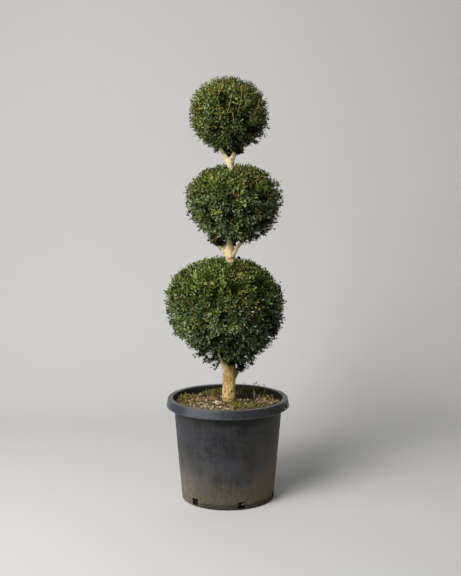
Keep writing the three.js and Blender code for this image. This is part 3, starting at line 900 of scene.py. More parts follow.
# The middle and radius of each limb at its stations: x, y, z, radius
limbStations = {
    "trunk": [(1.5, 0, 318.3, 19), (1.5, 0, 330, 21.5), (2, 0, 345, 21), (2.8, 0, 372, 21),
              (4.4, 0, 394, 20.6), (4.6, 0, 414, 21.8), (4.5, 0, 432, 21.5), (6, 0, 455, 18),
              (7, 0, 560, 16.5), (8, 0, 700, 15), (8, 0, 780, 13.8), (6, 0, 797, 19), (5, 0, 812, 16.5),
              (4, 0, 832, 11), (6, 0, 950, 10.8), (8, 0, 1078, 10.5), (6, 0, 1094, 14), (5.5, 0, 1102, 10)],
    "bough_low_left": [(2, -4, 396, 9), (-12, -9, 432, 8.2), (-21, -14, 455, 5.2), (-33, -17, 484, 4.2)],
    "bough_low_right": [(16, 2, 385, 7.4), (29, 3, 412, 6.2), (37, 4, 434, 5.2), (48, 5, 476, 4)],
    "bough_mid_left": [(4, -2, 792, 8), (-14, -4, 812, 7), (-30, -5, 834, 6), (-46, -6, 874, 4.5)],
    "bough_mid_right": [(13, -8, 791, 9), (28.6, -7, 817.7, 6.8), (49.5, -4, 841, 4), (70, -4, 880, 3.6)],
    "bough_top_left": [(2, 0, 1092, 8.5), (-10, 0, 1113, 6.6), (-22, 0, 1134, 5), (-37, 0, 1180, 4)],
    "bough_top_right": [(9, 0, 1092, 9), (19, 0, 1113, 7.4), (26, 0, 1134, 5), (34, 0, 1180, 4)],
}
# A knot is a place, a radius and how much taller than wide it is
bark = {"spacing": 2.2, "trunkSides": 64, "boughSides": 32, "seed": 41, "youngFrom": (500, 780),
        "ridge": 0.085, "ridgeDrawn": (1, 1, 0.35), "ridges": ((9, 1), (4, 0.5)),
        "wart": 0.1, "wartCell": 13, "wartSunk": 0.3, "pit": 0.06, "pitCell": 3, "knotDepth": 0.07,
        "knotCore": 0.3,
        "knots": ((5, -17, 782, 9, 1), (-13, -9, 799, 6, 1), (17, -6, 1084, 6, 1), (11, -19, 392, 5, 2.2),
                  (1, -21, 360, 3.6, 2.6), (4, -20, 344, 4, 2.4), (20, -10, 812, 8, 1.4),
                  (-14, -4, 1120, 7, 1.5))}
# The young bark up the trunk and on the boughs is pale cream, made paler still as painted light where the
# balls shade it
barkTones = {"raisedFrom": (-0.09, 0.08), "old": ((0.4, 0.235, 0.085), (0.94, 0.7, 0.34)),
             "paleYoungLit": ((0.92, 0.69, 0.38), (1.0, 0.9, 0.63)), "shadowSlant": 0.6, "roughness": 0.85,
             "grain": (260.0, 900.0, 0.0012)}
barkCoats = (
    ("tan", (0.72, 0.46, 0.17), (0, 0.4), (("young", 2.0, 0.0),), (38.0, 0.4, 0.68)),
    ("pale", (0.88, 0.76, 0.5), (0, 0.5), (), (60.0, 0.55, 0.72)),
    # painted fill light: the lower trunk's shaded right side made a bright ochre
    ("weather", (1.0, 0.8, 0.25), (0, 1), (("x", 0.003, 0.017), ("level", 0.5, 0.42))),
    ("scars", (0.52, 0.28, 0.11), (0, 0.5), (), (52.0, 0.58, 0.68)),
    ("knots", (0.38, 0.2, 0.07), (0, 0.65), (("knot",),)),
    # painted shadow of the low ball's leaves on the trunk's right half just under the ball
    ("dim", (0.2, 0.12, 0.035), (0, 0.8), (("shadowSlant", 0.252, 0.266), ("level", 0.5, 0.46))),
    ("green", (0.24, 0.19, 0.05), (0, 0.4), (("level", 0.36, 0.32),), (70.0, 0.4, 0.6)),
)
limbs = {name: curveThrough(stations, bark["spacing"]) for name, stations in limbStations.items()}


# Relief of corky bark as a share of the radius: long shallow ridges, warts and small pits
def barkRelief(points):
    ridges = clouds(points * bark["ridgeDrawn"], bark["ridges"], bark["seed"])
    warts = bumps(points, bark["wartCell"], bark["seed"] + 2) - bark["wartSunk"]
    pits = cloud(points, bark["pitCell"], bark["seed"] + 5)
    return bark["ridge"] * ridges + bark["wart"] * warts + bark["pit"] * pits


# A limb is rings of points round its curve, pushed out by the bark's relief, sunk at its knots and
# closed at both ends. The trunk's rings lie level, and its first one is flat on the soil.
def makeLimb(name, material):
    line = limbs[name]
    middle, radius = line[:, :3], line[:, 3]
    isTrunk = name == "trunk"
    sides = bark["trunkSides"] if isTrunk else bark["boughSides"]
    along = np.broadcast_to(up, middle.shape) if isTrunk else unit(np.gradient(middle, axis=0))
    across = unit(np.cross(along, [0.0, 1.0, 0.0]))
    third = np.cross(across, along)
    turn = evenTurns(sides)[None, :, None]
    ring = across[:, None] * np.cos(turn) - third[:, None] * np.sin(turn)
    smooth = middle[:, None] + radius[:, None, None] * ring
    knots = np.array(bark["knots"], float)
    apart = smooth[:, :, None] - knots[:, :3]
    apart[..., 2] /= knots[:, 4]
    apart = np.linalg.norm(apart, axis=-1) / knots[:, 3]
    knot = 1 - ramp(apart.min(axis=-1), bark["knotCore"], 1)
    relief = barkRelief(smooth) - bark["knotDepth"] * knot
    points = middle[:, None] + (radius[:, None] * (1 + relief))[..., None] * ring
    if isTrunk:
        points[0, :, 2] = limbStations["trunk"][0][2]
    faces = [gridFaces(len(line), sides, True), endFaces(len(line), sides)]
    piece = newPiece(name + "_bark", points, faces, [material])
    storeValue(piece, "relief", relief)
    storeValue(piece, "knot", knot)
    storeValue(piece, "young", ramp(points[..., 2], *bark["youngFrom"]) if isTrunk else np.ones(relief.shape))
    dress(piece, "bark", name)


# Pale corky bark: cream on the raised parts, brown in the hollows, tan patches, scars and brown knots, an
# ochre right side that is painted fill light, a painted shadow under the low ball, paler up the young wood,
# partly as painted light, and green at the foot
def corkyBark():
    material, tree, shader = newMaterial("corkyBark", barkTones["roughness"])
    inputs = placeInputs(tree)
    for name in ("relief", "young", "knot"):
        inputs[name] = addNode(tree, "Attribute", attribute_name=name).outputs["Fac"]
    # the painted shadow's slanted edge: x plus a part of the level
    rise = calc(tree, "MULTIPLY", inputs["level"], barkTones["shadowSlant"])
    inputs["shadowSlant"] = calc(tree, "ADD", inputs["x"], rise)
    proud = rampNode(tree, inputs["relief"], *barkTones["raisedFrom"])
    old, paleYoungLit = [blendColour(tree, proud, *barkTones[age]) for age in ("old", "paleYoungLit")]
    ground = blendColour(tree, inputs["young"], old, paleYoungLit)
    colour = paintCoats(tree, inputs, ground, barkCoats)[0]
    joinSkin(tree, shader, colour, inputs["place"], barkTones["grain"])
    return material


barkMaterial = corkyBark()
for limbName in limbStations:
    makeLimb(limbName, barkMaterial)
print("limbs: trunk and boughs with bark relief")


# The clipped balls

# Spots are directions from a ball's middle in hundredths. Cuts, thin places and tones add a strength
# and a radius. Tones are painted light and shade, broad parts made lighter or darker, and clumps of brighter
# greens are painted light.
# Gaps are x, z and a radius, tufts a place, a spread and a count, and stems two places x, z.
# A limb shows in front up to its level here, and again over shownFrom.
balls = {
    "low": {
        "x": -11.5, "z": 637, "radius": 194, "rise": 154, "drop": 211, "fullAbove": 2.15, "fullBelow": 1.86,
        "lean": 0.08, "branches": 42, "twigs": 420, "shoots": 4200, "seed": 11, "pieces": 2,
        "leafScale": 0.93, "lively": -0.03, "olive": 0.07, "burnt": 0.35, "bronze": 0.6, "coolSheen": 0.9,
        "shownFrom": 786,
        "limbs": {"trunk": 414, "bough_low_left": 476, "bough_low_right": 414},
        "stems": (),
        # tones are painted light and shade, broad lighter and darker parts of the ball; clumps are painted
        # light, spots of brighter greens
        "tones": ((0, -100, 5, 0.14, 90), (-70, -50, -50, 0.14, 80), (90, -40, 0, 0.24, 75),
                  (10, -60, -79, 0.22, 80), (60, -60, -50, 0.1, 60)),
        "hollows": ((-1, -99, -11), (-18, -96, 21), (-22, -83, -52), (-6, -89, -44), (71, -54, 45),
                    (19, -89, 41), (9, -80, -60), (83, -52, -20), (80, -60, 5)),
        "brightSpots": ((13, -95, -27), (-64, -43, -63), (-21, -95, -21), (70, -54, -47), (-60, -53, 61),
                   (30, -71, 63)),
        "burns": ((30, -71, 63), (50, -86, 6), (55, -75, -38)),
        "cuts": ((-67, 0, -74, 18, 75), (60, 0, -80, 14, 60), (-45, 0, 89, 8, 50), (88, 0, 48, 10, 50),
                 (-72, 0, -69, 5, 22), (-93, 0, -36, -4, 30), (93, 0, -36, 8, 30), (29, 0, 96, -13, 15),
                 (-83, 0, -56, -12, 36), (48, 0, 88, -9, 15)),
        "thin": ((-42, -30, -86, 0.66, 85), (-42, 30, -86, 0.66, 85), (40, 0, -92, 0.5, 70)),
        "gaps": ((-56, 483, 3.4), (-64, 475, 5.2), (-56, 465, 4.6), (-45, 448, 3.2), (-36, 446, 3.6),
                 (26, 436, 4.4), (59, 465, 3.4), (47, 491, 2.6), (131, 529, 3), (-82, 461, 2.6),
                 (-89, 458, 2.6)),
        "tufts": ((14, -28, 440, 8, 14), (31, -20, 434, 9, 16), (45, -8, 430, 7, 10),
                  (-48, -14, 461, 7, 12), (-106, -6, 470, 4, 4), (80, -6, 450, 4, 4),
                  (-20, 22, 460, 5, 8))},
    "mid": {
        "x": 19, "z": 977, "radius": 155, "rise": 110, "drop": 160, "fullAbove": 2.2, "fullBelow": 1.9,
        "lean": 0.02, "branches": 30, "twigs": 270, "shoots": 2420, "seed": 23, "pieces": 1,
        "leafScale": 0.93, "lively": -0.04, "olive": 0.12, "burnt": 0.5, "bronze": 0.45, "coolSheen": 1,
        "shownFrom": 1071,
        "limbs": {"trunk": 828, "bough_mid_left": 808, "bough_mid_right": 820},
        "stems": (),
        # tones are painted light and shade, broad lighter and darker parts of the ball; clumps are painted
        # light, spots of brighter greens
        "tones": ((62, -50, 60, 0.3, 60), (5, -100, 0, 0.04, 55), (-55, -60, -58, 0.16, 60),
                  (0, -65, -75, 0.16, 55), (0, -40, 92, -0.06, 50)),
        "hollows": ((65, -56, -51), (-61, -75, -24), (30, -92, -23), (-46, -70, -54), (-12, -93, -35),
                    (62, -78, 8)),
        "brightSpots": ((-18, -66, -73), (-71, -45, -54), (-37, -86, -34), (77, -57, 29), (-36, -63, 69),
                   (5, -70, -71), (24, -97, -2), (0, -97, 20), (-10, -55, -83), (15, -60, -78),
                   (85, -50, -10)),
        "burns": ((56, -61, 56), (-3, -99, 12), (35, -80, 48)),
        "cuts": ((-60, 0, -80, 12, 50), (30, 0, -95, 8, 40), (-90, 0, 43, 8, 35), (-44, 0, 90, -10, 20),
                 (45, 0, 89, -5, 22), (-48, 0, -88, -10, 22), (96, 0, 20, -6, 24), (-100, 0, -5, -5, 40)),
        "thin": ((-30, -20, -93, 0.55, 60), (25, -30, -92, 0.55, 60), (0, 50, -87, 0.55, 70)),
        "gaps": ((31, 833, 4.4), (34, 836, 3.6), (90, 867, 3), (99, 866, 3.4), (42, 867, 2.4),
                 (-11, 842, 2.4), (151, 1010, 2.6), (161, 966, 2.6)),
        "tufts": ((-38, -8, 840, 6, 12), (-28, -16, 834, 5, 12), (-50, -8, 842, 4, 8),
                  (42, -12, 848, 5, 12), (-24, 12, 832, 6, 14), (-10, 18, 836, 5, 12), (22, 18, 838, 5, 12),
                  (27, 14, 846, 6, 10))},
    "top": {
        "x": 2, "z": 1240.5, "radius": 126, "rise": 116, "drop": 121, "fullAbove": 2.35, "fullBelow": 2.1,
        "lean": 0.04, "branches": 23, "twigs": 190, "shoots": 1800, "seed": 37, "pieces": 1,
        "leafScale": 0.88, "lively": 0.07, "olive": 0.18, "burnt": 0.6, "bronze": 0.28, "coolSheen": 0.4,
        "shownFrom": 1500,
        "limbs": {"trunk": 1104, "bough_top_left": 1142, "bough_top_right": 1113},
        "stems": ((34, 1226, 44, 1318), (6, 1246, 14, 1304), (78, 1214, 98, 1284), (62, 1244, 50, 1290),
                  (-68, 1196, -78, 1222), (20, 1214, 14, 1238)),
        # tones are painted light and shade, broad lighter and darker parts of the ball; clumps are painted
        # light, spots of brighter greens
        "tones": ((0, -50, 86, -0.3, 55), (-92, -40, 0, -0.24, 60), (60, -55, -58, -0.3, 60),
                  (85, -50, 10, 0.06, 55), (-60, -50, 62, 0.1, 45), (10, -100, 5, -0.16, 50)),
        "hollows": ((57, -67, -48), (-35, -85, -39), (12, -73, -67), (-14, -91, 38), (43, -88, -20),
                    (2, -97, 22), (12, -98, -12)),
        "brightSpots": ((-21, -66, 72), (-77, -55, -33), (-55, -82, 18), (43, -63, 64), (69, -58, 43),
                   (86, -50, -5), (78, -60, 18), (-65, -70, -30), (-85, -50, 5)),
        "burns": ((46, -64, 62), (-21, -66, 72), (82, -50, 28), (24, -65, 72), (-20, -35, 92),
                  (35, -30, 89), (8, -15, 98)),
        "cuts": ((50, 0, -87, 12, 40), (-35, 0, -94, 8, 35), (71, 0, -70, -9, 20), (55, 0, 83, 5, 30),
                 (91, 0, -42, -6, 24)),
        "thin": ((55, 0, -83, 0.5, 60), (-40, 0, -92, 0.4, 45)),
        "gaps": ((40, 1161, 2.6), (78, 1149, 2.6), (94, 1164, 2.4), (113, 1190, 2.6), (122, 1192, 2.6),
                 (53, 1133, 2.6), (112, 1290, 3)),
        "tufts": ((27, -12, 1126, 4, 12), (89, -4, 1153, 3, 4), (4, 12, 1124, 5, 18), (4, 8, 1115, 3, 8),
                  (-34, -8, 1130, 6, 10), (41, -8, 1128, 6, 10))},
}
wood = {"branches": {"inset": 78, "jitter": 0.08, "rise": 0.16, "sway": 0.1, "radius": (4.2, 1.9), "steps": 9,
                     "sides": 6},
        "twigs": {"inset": 46, "jitter": 0.05, "rise": 0.1, "sway": 0.12, "radius": (1.9, 1.0), "steps": 5,
                  "sides": 4, "stemRadius": (0.95, 0.6), "stemProud": (8, 0)},
        "limbInset": 30, "limbStep": 3, "limbPast": 60, "hostOut": (1.5, 15), "hostAbove": (0.5, 10),
        "reliefCell": 8, "relief": 0.1, "roughness": (0.8, 0.6, 0.7, 0.8), "gloss": 0.2,
        "tones": {"twigTan": (0.2, 0.15, 0.075), "shootGreen": (0.07, 0.078, 0.024),
                  "shootBrown": (0.085, 0.062, 0.032), "stemPale": (0.4, 0.32, 0.14)}}
shoots = {"jitter": 0.018, "length": 42, "lengths": (0.8, 1.2), "radius": (0.9, 0.42), "steps": 4, "sides": 3,
          "inset": 4, "depth": 6, "deepShare": 0.24, "deepest": 44, "deepFrom": 0.2,
          "strayShare": 0.1, "stray": 10, "strayFrom": (-0.8, 0.4), "lump": 4, "lumpCell": 62,
          "pocket": 32, "pocketCell": 27, "pocketEdge": (0.28, 0.7), "pocketFrom": (-0.8, -0.3),
          "hollow": 40, "hollowRadius": 27, "sway": 0.4, "lift": 0.22, "toneShares": (0.12, 0.55, 0.33),
          "room": 3, "parting": 0.1, "partingRoom": 3.5,
          "tuftRise": 9, "tuftSway": 4, "tuftDepth": 30, "tuftBeyond": 60.0}
leaf = {"length": 15, "lengths": (0.78, 1.16), "tipSmaller": 0.38, "tipCurve": 4, "width": 6.8, "room": 1.5,
        "pairs": 5, "firstAt": 0.4, "lastAt": 0.985, "atJitter": 0.012, "turnJitter": 0.15, "splay": (64, 26),
        "splayCurve": 1.5, "splayJitter": 9, "twist": 18, "toLight": 0.45, "lift": 0.3, "petiole": 1.1,
        "fold": 0.1, "droop": 0.07, "ribUp": 0.02, "slack": 5, "slackMost": 15,
        "edge": ((0, 0), (0.33, 0.17), (0.5, 0.47), (0.37, 0.82), (0, 1), (-0.37, 0.82), (-0.5, 0.47),
                 (-0.33, 0.17), (0, 0.5))}
# Greens from painted shade to young, then olive, the burnt tints, a pale tint that is partly undersides and
# partly a painted glint, and cool greens that are a painted reflection
leafFinish = {"roughness": 0.26, "tones": {
    "leafShade": (0.013, 0.022, 0.003), "leafDeep": (0.034, 0.055, 0.008), "leafGreen": (0.066, 0.104, 0.014),
    "leafMid": (0.115, 0.165, 0.025), "leafBright": (0.195, 0.262, 0.044), "leafYoung": (0.32, 0.395, 0.1),
    "leafOlive": (0.18, 0.16, 0.026), "leafOchre": (0.34, 0.25, 0.062), "leafBronze": (0.11, 0.088, 0.022),
    "leafPaleGlint": (0.25, 0.29, 0.18), "leafCoolSheen": (0.06, 0.103, 0.034), "leafCoolSheenMid": (0.104, 0.163, 0.062),
    "leafCoolSheenBright": (0.178, 0.258, 0.108)},
    "gloss": (0.03, 0.1, 0.32, 0.48, 0.48, 0.5, 0.3, 0.25, 0.2, 0.8, 0.36, 0.55, 0.55)}
tintOf = {name: index for index, name in enumerate(leafFinish["tones"])}
# Vigour sets each spray's green and carries painted light and shade: greens rise on the side facing the key
# lamp and in bright spots, and fall deep in the ball and far down the shoots; the cooler greens are a painted
# reflection and the pale tint partly a painted glint
vigour = {"steps": (0.12, 0.34, 0.62, 0.88, 1.08), "litSide": (-0.56, -0.3, 0.76), "litSidePull": 0.3,
          "cloud": 0.14, "cloudCell": 42, "deep": 0.5, "deepFrom": (9, 26), "clump": 0.35,
          "spotRadius": 34, "spotCore": 0.3, "oliveFrom": (0.1, 0.5), "coolSheenFrom": (0.4, -0.2),
          "burntAnywhere": 0.009, "youngRank": 0.75, "young": 0.35, "youngFrom": (0.6, 1.2),
          "oldRank": 0.5, "shade": 0.72, "pale": 0.13, "paleFrom": (0.4, -0.3), "paleWeak": (0.9, 0.3)}


# Distance from a ball's middle to its clipped outline in each direction, drawn in by an inset:
# a ball whose level half width and upright half height meet by a power, the fullness
def reach(ball, directions, inset=0):
    above = directions[..., 2] > 0
    full = np.where(above, ball["fullAbove"], ball["fullBelow"])
    level = np.hypot(directions[..., 0], directions[..., 1]) / (ball["radius"] - inset)
    height = np.abs(directions[..., 2]) / (np.where(above, ball["rise"], ball["drop"]) - inset)
    return (level ** full + height ** full) ** (-1 / full)


# Directions spread over a ball along a golden-angle spiral, each moved a little at random
def spiralDirections(count, jitter, rng):
    i = np.arange(count)
    height = 1 - 2 * (i + 0.5) / count
    level = np.sqrt(1 - height * height)
    spiral = np.stack([level * np.cos(goldenAngle * i), level * np.sin(goldenAngle * i), height], 1)
    return unit(spiral + jitter * rng.normal(size=(count, 3)))


# How far each direction falls on the spots of a ball: 1 near a spot's middle, 0 from its radius on.
# One radius for all gives the most of them; else each spot's own strength and radius count.
def onSpots(ball, way, spots, radius=None):
    spots = np.array(spots, float)
    apart = np.linalg.norm(way[:, None] - unit(spots[:, :3])[None], axis=-1) * ball["radius"]
    size = spots[:, 4] if radius is None else radius
    near = 1 - ramp(apart, vigour["spotCore"] * size, size)
    return near * spots[:, 3] if radius is None else near.max(axis=1)


# The host point that each tip grows from: the nearest one, where points further out than the tip
# or above it count as further off
def nearestHost(tips, hosts, middle):
    apart = np.linalg.norm(tips[:, None] - hosts[None], axis=-1)
    over = np.linalg.norm(hosts - middle, axis=-1)[None] - np.linalg.norm(tips - middle, axis=-1)[:, None]
    above = hosts[None, :, 2] - tips[:, None, 2]
    for (weight, start), excess in ((wood["hostOut"], over), (wood["hostAbove"], above)):
        apart = apart + weight * np.maximum(excess + start, 0)
    return hosts[np.argmin(apart, axis=1)]


# The balls lean below their middles: points move in x by the lean times their depth under the middle
def leaned(ball, points, way=1):
    moved = points.copy()
    moved[..., 0] += way * ball["lean"] * np.maximum(ball["z"] - points[..., 2], 0)
    return moved


# True for points that keep their room from the limbs. Where a limb shows, its room reaches further
# along the sight line of a person in front, so the growth parts.
def clearOfLimbs(ball, points, room):
    clear = np.ones(len(points), bool)
    fall = (camera["height"] - ball["z"] + ball["drop"]) / camera["distance"]
    for name, shownTo in ball["limbs"].items():
        line = limbs[name][::wood["limbStep"]]
        line = line[np.abs(line[:, 2] - ball["z"]) < ball["drop"] + wood["limbPast"]]
        gap = points[:, None] - line[None, :, :3]
        shown = (line[:, 2] < shownTo) | (line[:, 2] > ball["shownFrom"])
        ahead = (gap[..., 1] < 0) & shown[None]
        gap[..., 2] += np.where(ahead, fall * gap[..., 1], 0)
        gap[..., 1] *= np.where(ahead, shoots["parting"], 1)
        needed = line[:, 3] + room + np.where(ahead, shoots["partingRoom"], 0)
        clear &= np.all(np.linalg.norm(gap, axis=-1) > needed, axis=1)
    return clear


# True for leaves that keep a ball's gaps open: no point of such a leaf, carried along the sight line
# of a person in front to the trunk's plane, comes within the radius of a gap's middle
def clearOfGaps(ball, points):
    carry = camera["distance"] / (points[..., 1:2] + camera["distance"])
    seen = eye + (points - eye) * carry
    clear = np.ones(len(points), bool)
    for x, z, radius in ball["gaps"]:
        clear &= np.all(np.hypot(seen[..., 0] - x, seen[..., 2] - z) > radius, axis=1)
    return clear


# Branches or twigs from their hosts to the directions of a spiral, ending at their inset under the
# outline, each bent up and aside half way by parts of its length
def growWood(ball, middle, kind, hosts, rng):
    grown = wood[kind]
    way = spiralDirections(ball[kind], grown["jitter"], rng)
    tip = leaned(ball, middle + way * reach(ball, way, grown["inset"])[:, None])
    root = nearestHost(tip, hosts, middle)
    far = np.linalg.norm(tip - root, axis=1, keepdims=True)
    bend = (root + tip) / 2 + far * (grown["rise"] * up + grown["sway"] * rng.normal(size=tip.shape))
    return bentPaths(root, bend, tip, evenSteps(grown["steps"]))


# Shoots end near the clipped outline. The outline has shallow lumps, pockets and hollows where shoots
# stop short, cuts, some shoots deeper in and a few past it; thin places lose a share of their shoots.
def growShoots(ball, middle, hosts, rng):
    count = ball["shoots"]
    way = spiralDirections(count, shoots["jitter"], rng)
    surface = middle + way * reach(ball, way)[:, None]
    depth = shoots["inset"] + shoots["depth"] * rng.exponential(size=count)
    depth += shoots["lump"] * cloud(surface, shoots["lumpCell"], ball["seed"])
    pocket = ramp(cloud(surface, shoots["pocketCell"], ball["seed"] + 1), *shoots["pocketEdge"])
    depth += shoots["pocket"] * pocket * ramp(way[:, 1], *shoots["pocketFrom"])
    depth += shoots["hollow"] * onSpots(ball, way, ball["hollows"], shoots["hollowRadius"])
    depth += onSpots(ball, way, ball["cuts"]).sum(axis=1)
    deep = rng.uniform(size=count) < shoots["deepShare"]
    depth += deep * shoots["deepest"] * rng.uniform(shoots["deepFrom"], 1, count)
    stray = rng.uniform(size=count) < shoots["strayShare"] * ramp(-way[:, 2], *shoots["strayFrom"])
    depth -= stray * shoots["stray"]
    tip = leaned(ball, surface - way * depth[:, None])
    flat = [ball["radius"], ball["radius"], 0.5 * (ball["rise"] + ball["drop"])]
    outward = unit(way / np.square(flat))
    heading = unit(outward + shoots["lift"] * up + shoots["sway"] * rng.normal(size=way.shape))
    length = shoots["length"] * rng.uniform(*shoots["lengths"], count)
    bend = tip - heading * length[:, None]
    root = nearestHost(bend, hosts, middle)
    kept = clearOfLimbs(ball, tip, shoots["room"]) & clearOfLimbs(ball, bend, shoots["room"])
    kept &= rng.uniform(size=count) > onSpots(ball, way, ball["thin"]).max(axis=1)
    beyond = np.where(stray, shoots["stray"], 0.0)
    grown = [part[kept] for part in (root, bend, tip, depth, beyond)]
    return [np.concatenate(pair) for pair in zip(grown, growTufts(ball, rng))]


# Short shoots at the forks: tips scattered about each tuft's middle, rooted on the nearest limb
# point below them and bent out and down
def growTufts(ball, rng):
    x, y, z, spread, count = np.array(ball["tufts"], float).T
    each = count.astype(int)
    tip = np.repeat(np.stack([x, y, z], 1), each, axis=0)
    tip = tip + np.repeat(spread, each)[:, None] * rng.normal(size=tip.shape)
    line = np.concatenate([limbs[name][:, :3] for name in ball["limbs"]])
    apart = np.linalg.norm(tip[:, None] - line[None] + up * shoots["tuftRise"], axis=-1)
    root = line[np.argmin(apart, axis=1)]
    bend = (root + tip) / 2 + up * shoots["tuftRise"] + shoots["tuftSway"] * rng.normal(size=tip.shape)
    depth = rng.uniform(0, shoots["tuftDepth"], len(tip))
    return root, bend, tip, depth, np.full(len(tip), shoots["tuftBeyond"])


# Bare stems that show among the leaves in front: each leaves the nearest twig, bows out past the
# outline by the first place given and ends on it at the second. A place is x and z, and its y is
# the front of the outline: -sqrt((level half width there)^2 - x^2).
def growStems(ball, middle, hosts):
    places = np.array(ball["stems"], float).reshape(-1, 2, 2) - middle[[0, 2]]
    x, z = places[..., 0], places[..., 1]
    full = np.where(z > 0, ball["fullAbove"], ball["fullBelow"])
    height = np.abs(z) / np.where(z > 0, ball["rise"], ball["drop"])
    level = ball["radius"] * (1 - height ** full) ** (1 / full)
    front = np.stack([x, -np.sqrt(level ** 2 - x ** 2), z], -1)
    proud = np.array(wood["twigs"]["stemProud"])[None, :, None]
    bend, tip = np.moveaxis(leaned(ball, middle + front + unit(front) * proud), 1, 0)
    return bentPaths(nearestHost(bend, hosts, middle), bend, tip, evenSteps(wood["twigs"]["steps"]))


# Opposite pairs of leaves up each shoot, each pair square to the last. A leaf leans from the shoot
# by its splay, less towards the tip, and turns its upper side part of the way to the light.
def growLeaves(ball, middle, root, bend, tip, beyond, rng):
    count, pairs = len(tip), leaf["pairs"]
    t = np.linspace(leaf["firstAt"], leaf["lastAt"], pairs)[None]
    t = t + rng.normal(0, leaf["atJitter"], (count, pairs))
    node = bentPaths(root, bend, tip, t)
    axis = unit(2 * (1 - t[..., None]) * (bend - root)[:, None] + 2 * t[..., None] * (tip - bend)[:, None])
    side = squareTo(axis, steep=0.9)
    third = np.cross(axis, side)
    turn = rng.uniform(0, circle, (count, 1)) + np.arange(pairs) * math.pi / 2
    turn = turn + rng.normal(0, leaf["turnJitter"], (count, pairs))
    turn = np.stack([turn, turn + math.pi], -1)[..., None]
    away = side[:, :, None] * np.cos(turn) + third[:, :, None] * np.sin(turn)
    rank = evenSteps(pairs)[None, :, None]
    splay = leaf["splay"][0] + (leaf["splay"][1] - leaf["splay"][0]) * rank ** leaf["splayCurve"]
    splay = np.radians(splay + leaf["splayJitter"] * rng.normal(size=(count, pairs, 2)))[..., None]
    stem = axis[:, :, None]
    along = unit(np.cos(splay) * stem + np.sin(splay) * away)
    outward = unit(node - middle)[:, :, None]
    facing = np.sin(splay) * stem - np.cos(splay) * away + leaf["toLight"] * (leaf["lift"] * up + outward)
    facing = facing + np.tan(np.radians(leaf["twist"])) / 2 * rng.normal(size=facing.shape)
    facing = unit(facing - np.sum(facing * along, -1, keepdims=True) * along)
    across = np.cross(along, facing)
    length = leaf["length"] * ball["leafScale"] * rng.uniform(*leaf["lengths"], (count, pairs, 2))
    length = length * (1 - leaf["tipSmaller"] * rank ** leaf["tipCurve"])
    start = node[:, :, None] + along * leaf["petiole"]
    far = leaned(ball, start + along * length[..., None], -1) - middle
    slack = np.minimum(rng.exponential(leaf["slack"], length.shape), leaf["slackMost"])
    kept = np.linalg.norm(far, axis=-1) < reach(ball, unit(far)) + slack + beyond[:, None, None]
    half = start + along * length[..., None] / 2
    kept[kept] = clearOfLimbs(ball, half[kept], leaf["room"])
    spray = np.broadcast_to(np.arange(count)[:, None, None], kept.shape)
    ranked = np.broadcast_to(rank, kept.shape)
    return [part[kept] for part in (start, along, across, facing, length, spray, ranked)]


# Leaves as one array: base + across * width + along * length + facing * height. The outline goes
# from the base up the right edge to the tip and down the left one, and its eight faces meet at the
# middle of the rib; the edges fold down and the tip droops.
def leafPoints(start, along, across, facing, length):
    edge = np.array(leaf["edge"])
    height = -leaf["fold"] * np.abs(edge[:, 0]) * 2 - leaf["droop"] * edge[:, 1] ** 2
    height[-1] += leaf["ribUp"]
    rib = len(edge) - 1
    ring = np.arange(rib)
    size = length[:, None, None]
    width = size * leaf["width"] / leaf["length"]
    points = (start[:, None] + across[:, None] * edge[None, :, :1] * width
              + along[:, None] * edge[None, :, 1:] * size + facing[:, None] * height[None, :, None] * size)
    return points, np.stack([ring, np.roll(ring, -1), np.full(rib, rib)], 1)


# A tint for each spray. Its vigour is a chance that rises on the side facing the key lamp, in clumps and in
# broad tones, all painted light and shade, and falls with depth as painted shade, and picks a green by steps.
# Some sprays are olive, the lower ones are of cooler greens that are a painted reflection, and burnt ones
# gather about their own spots.
def sprayTints(ball, tip, depth, middle, rng):
    way = unit(tip - middle)
    count = len(tip)
    # painted light: greens rise on the side facing the key lamp
    power = rng.uniform(size=count) + vigour["litSidePull"] * (way @ unit(np.array(vigour["litSide"])))
    power += ball["lively"] + vigour["cloud"] * cloud(tip, vigour["cloudCell"], ball["seed"] + 3)
    # painted light in spots of brighter greens, and broad painted light and shade
    power += vigour["clump"] * onSpots(ball, way, ball["brightSpots"], vigour["spotRadius"])
    power += onSpots(ball, way, ball["tones"]).sum(axis=1)
    # painted shade: darker greens deeper in the ball
    power -= vigour["deep"] * ramp(depth, *vigour["deepFrom"])
    tint = np.searchsorted(vigour["steps"], power)
    olive = rng.uniform(size=count) < ball["olive"] * ramp(power, *vigour["oliveFrom"])
    tint = np.where(olive, tintOf["leafOlive"], tint)
    # painted reflection: some lower sprays get cooler, bluer greens for the sheen of reflected studio light
    coolSheen = rng.uniform(size=count) < ball["coolSheen"] * ramp(way[:, 2], *vigour["coolSheenFrom"])
    coolSheen &= (tint >= tintOf["leafGreen"]) & (tint <= tintOf["leafBright"])
    tint = np.where(coolSheen, tint + tintOf["leafCoolSheen"] - tintOf["leafGreen"], tint)
    chance = vigour["burntAnywhere"] + ball["burnt"] * onSpots(ball, way, ball["burns"], vigour["spotRadius"])
    burnt = rng.uniform(size=count) < chance
    brown = np.where(rng.uniform(size=count) < ball["bronze"], tintOf["leafBronze"], tintOf["leafOchre"])
    return np.where(burnt, brown, tint), power


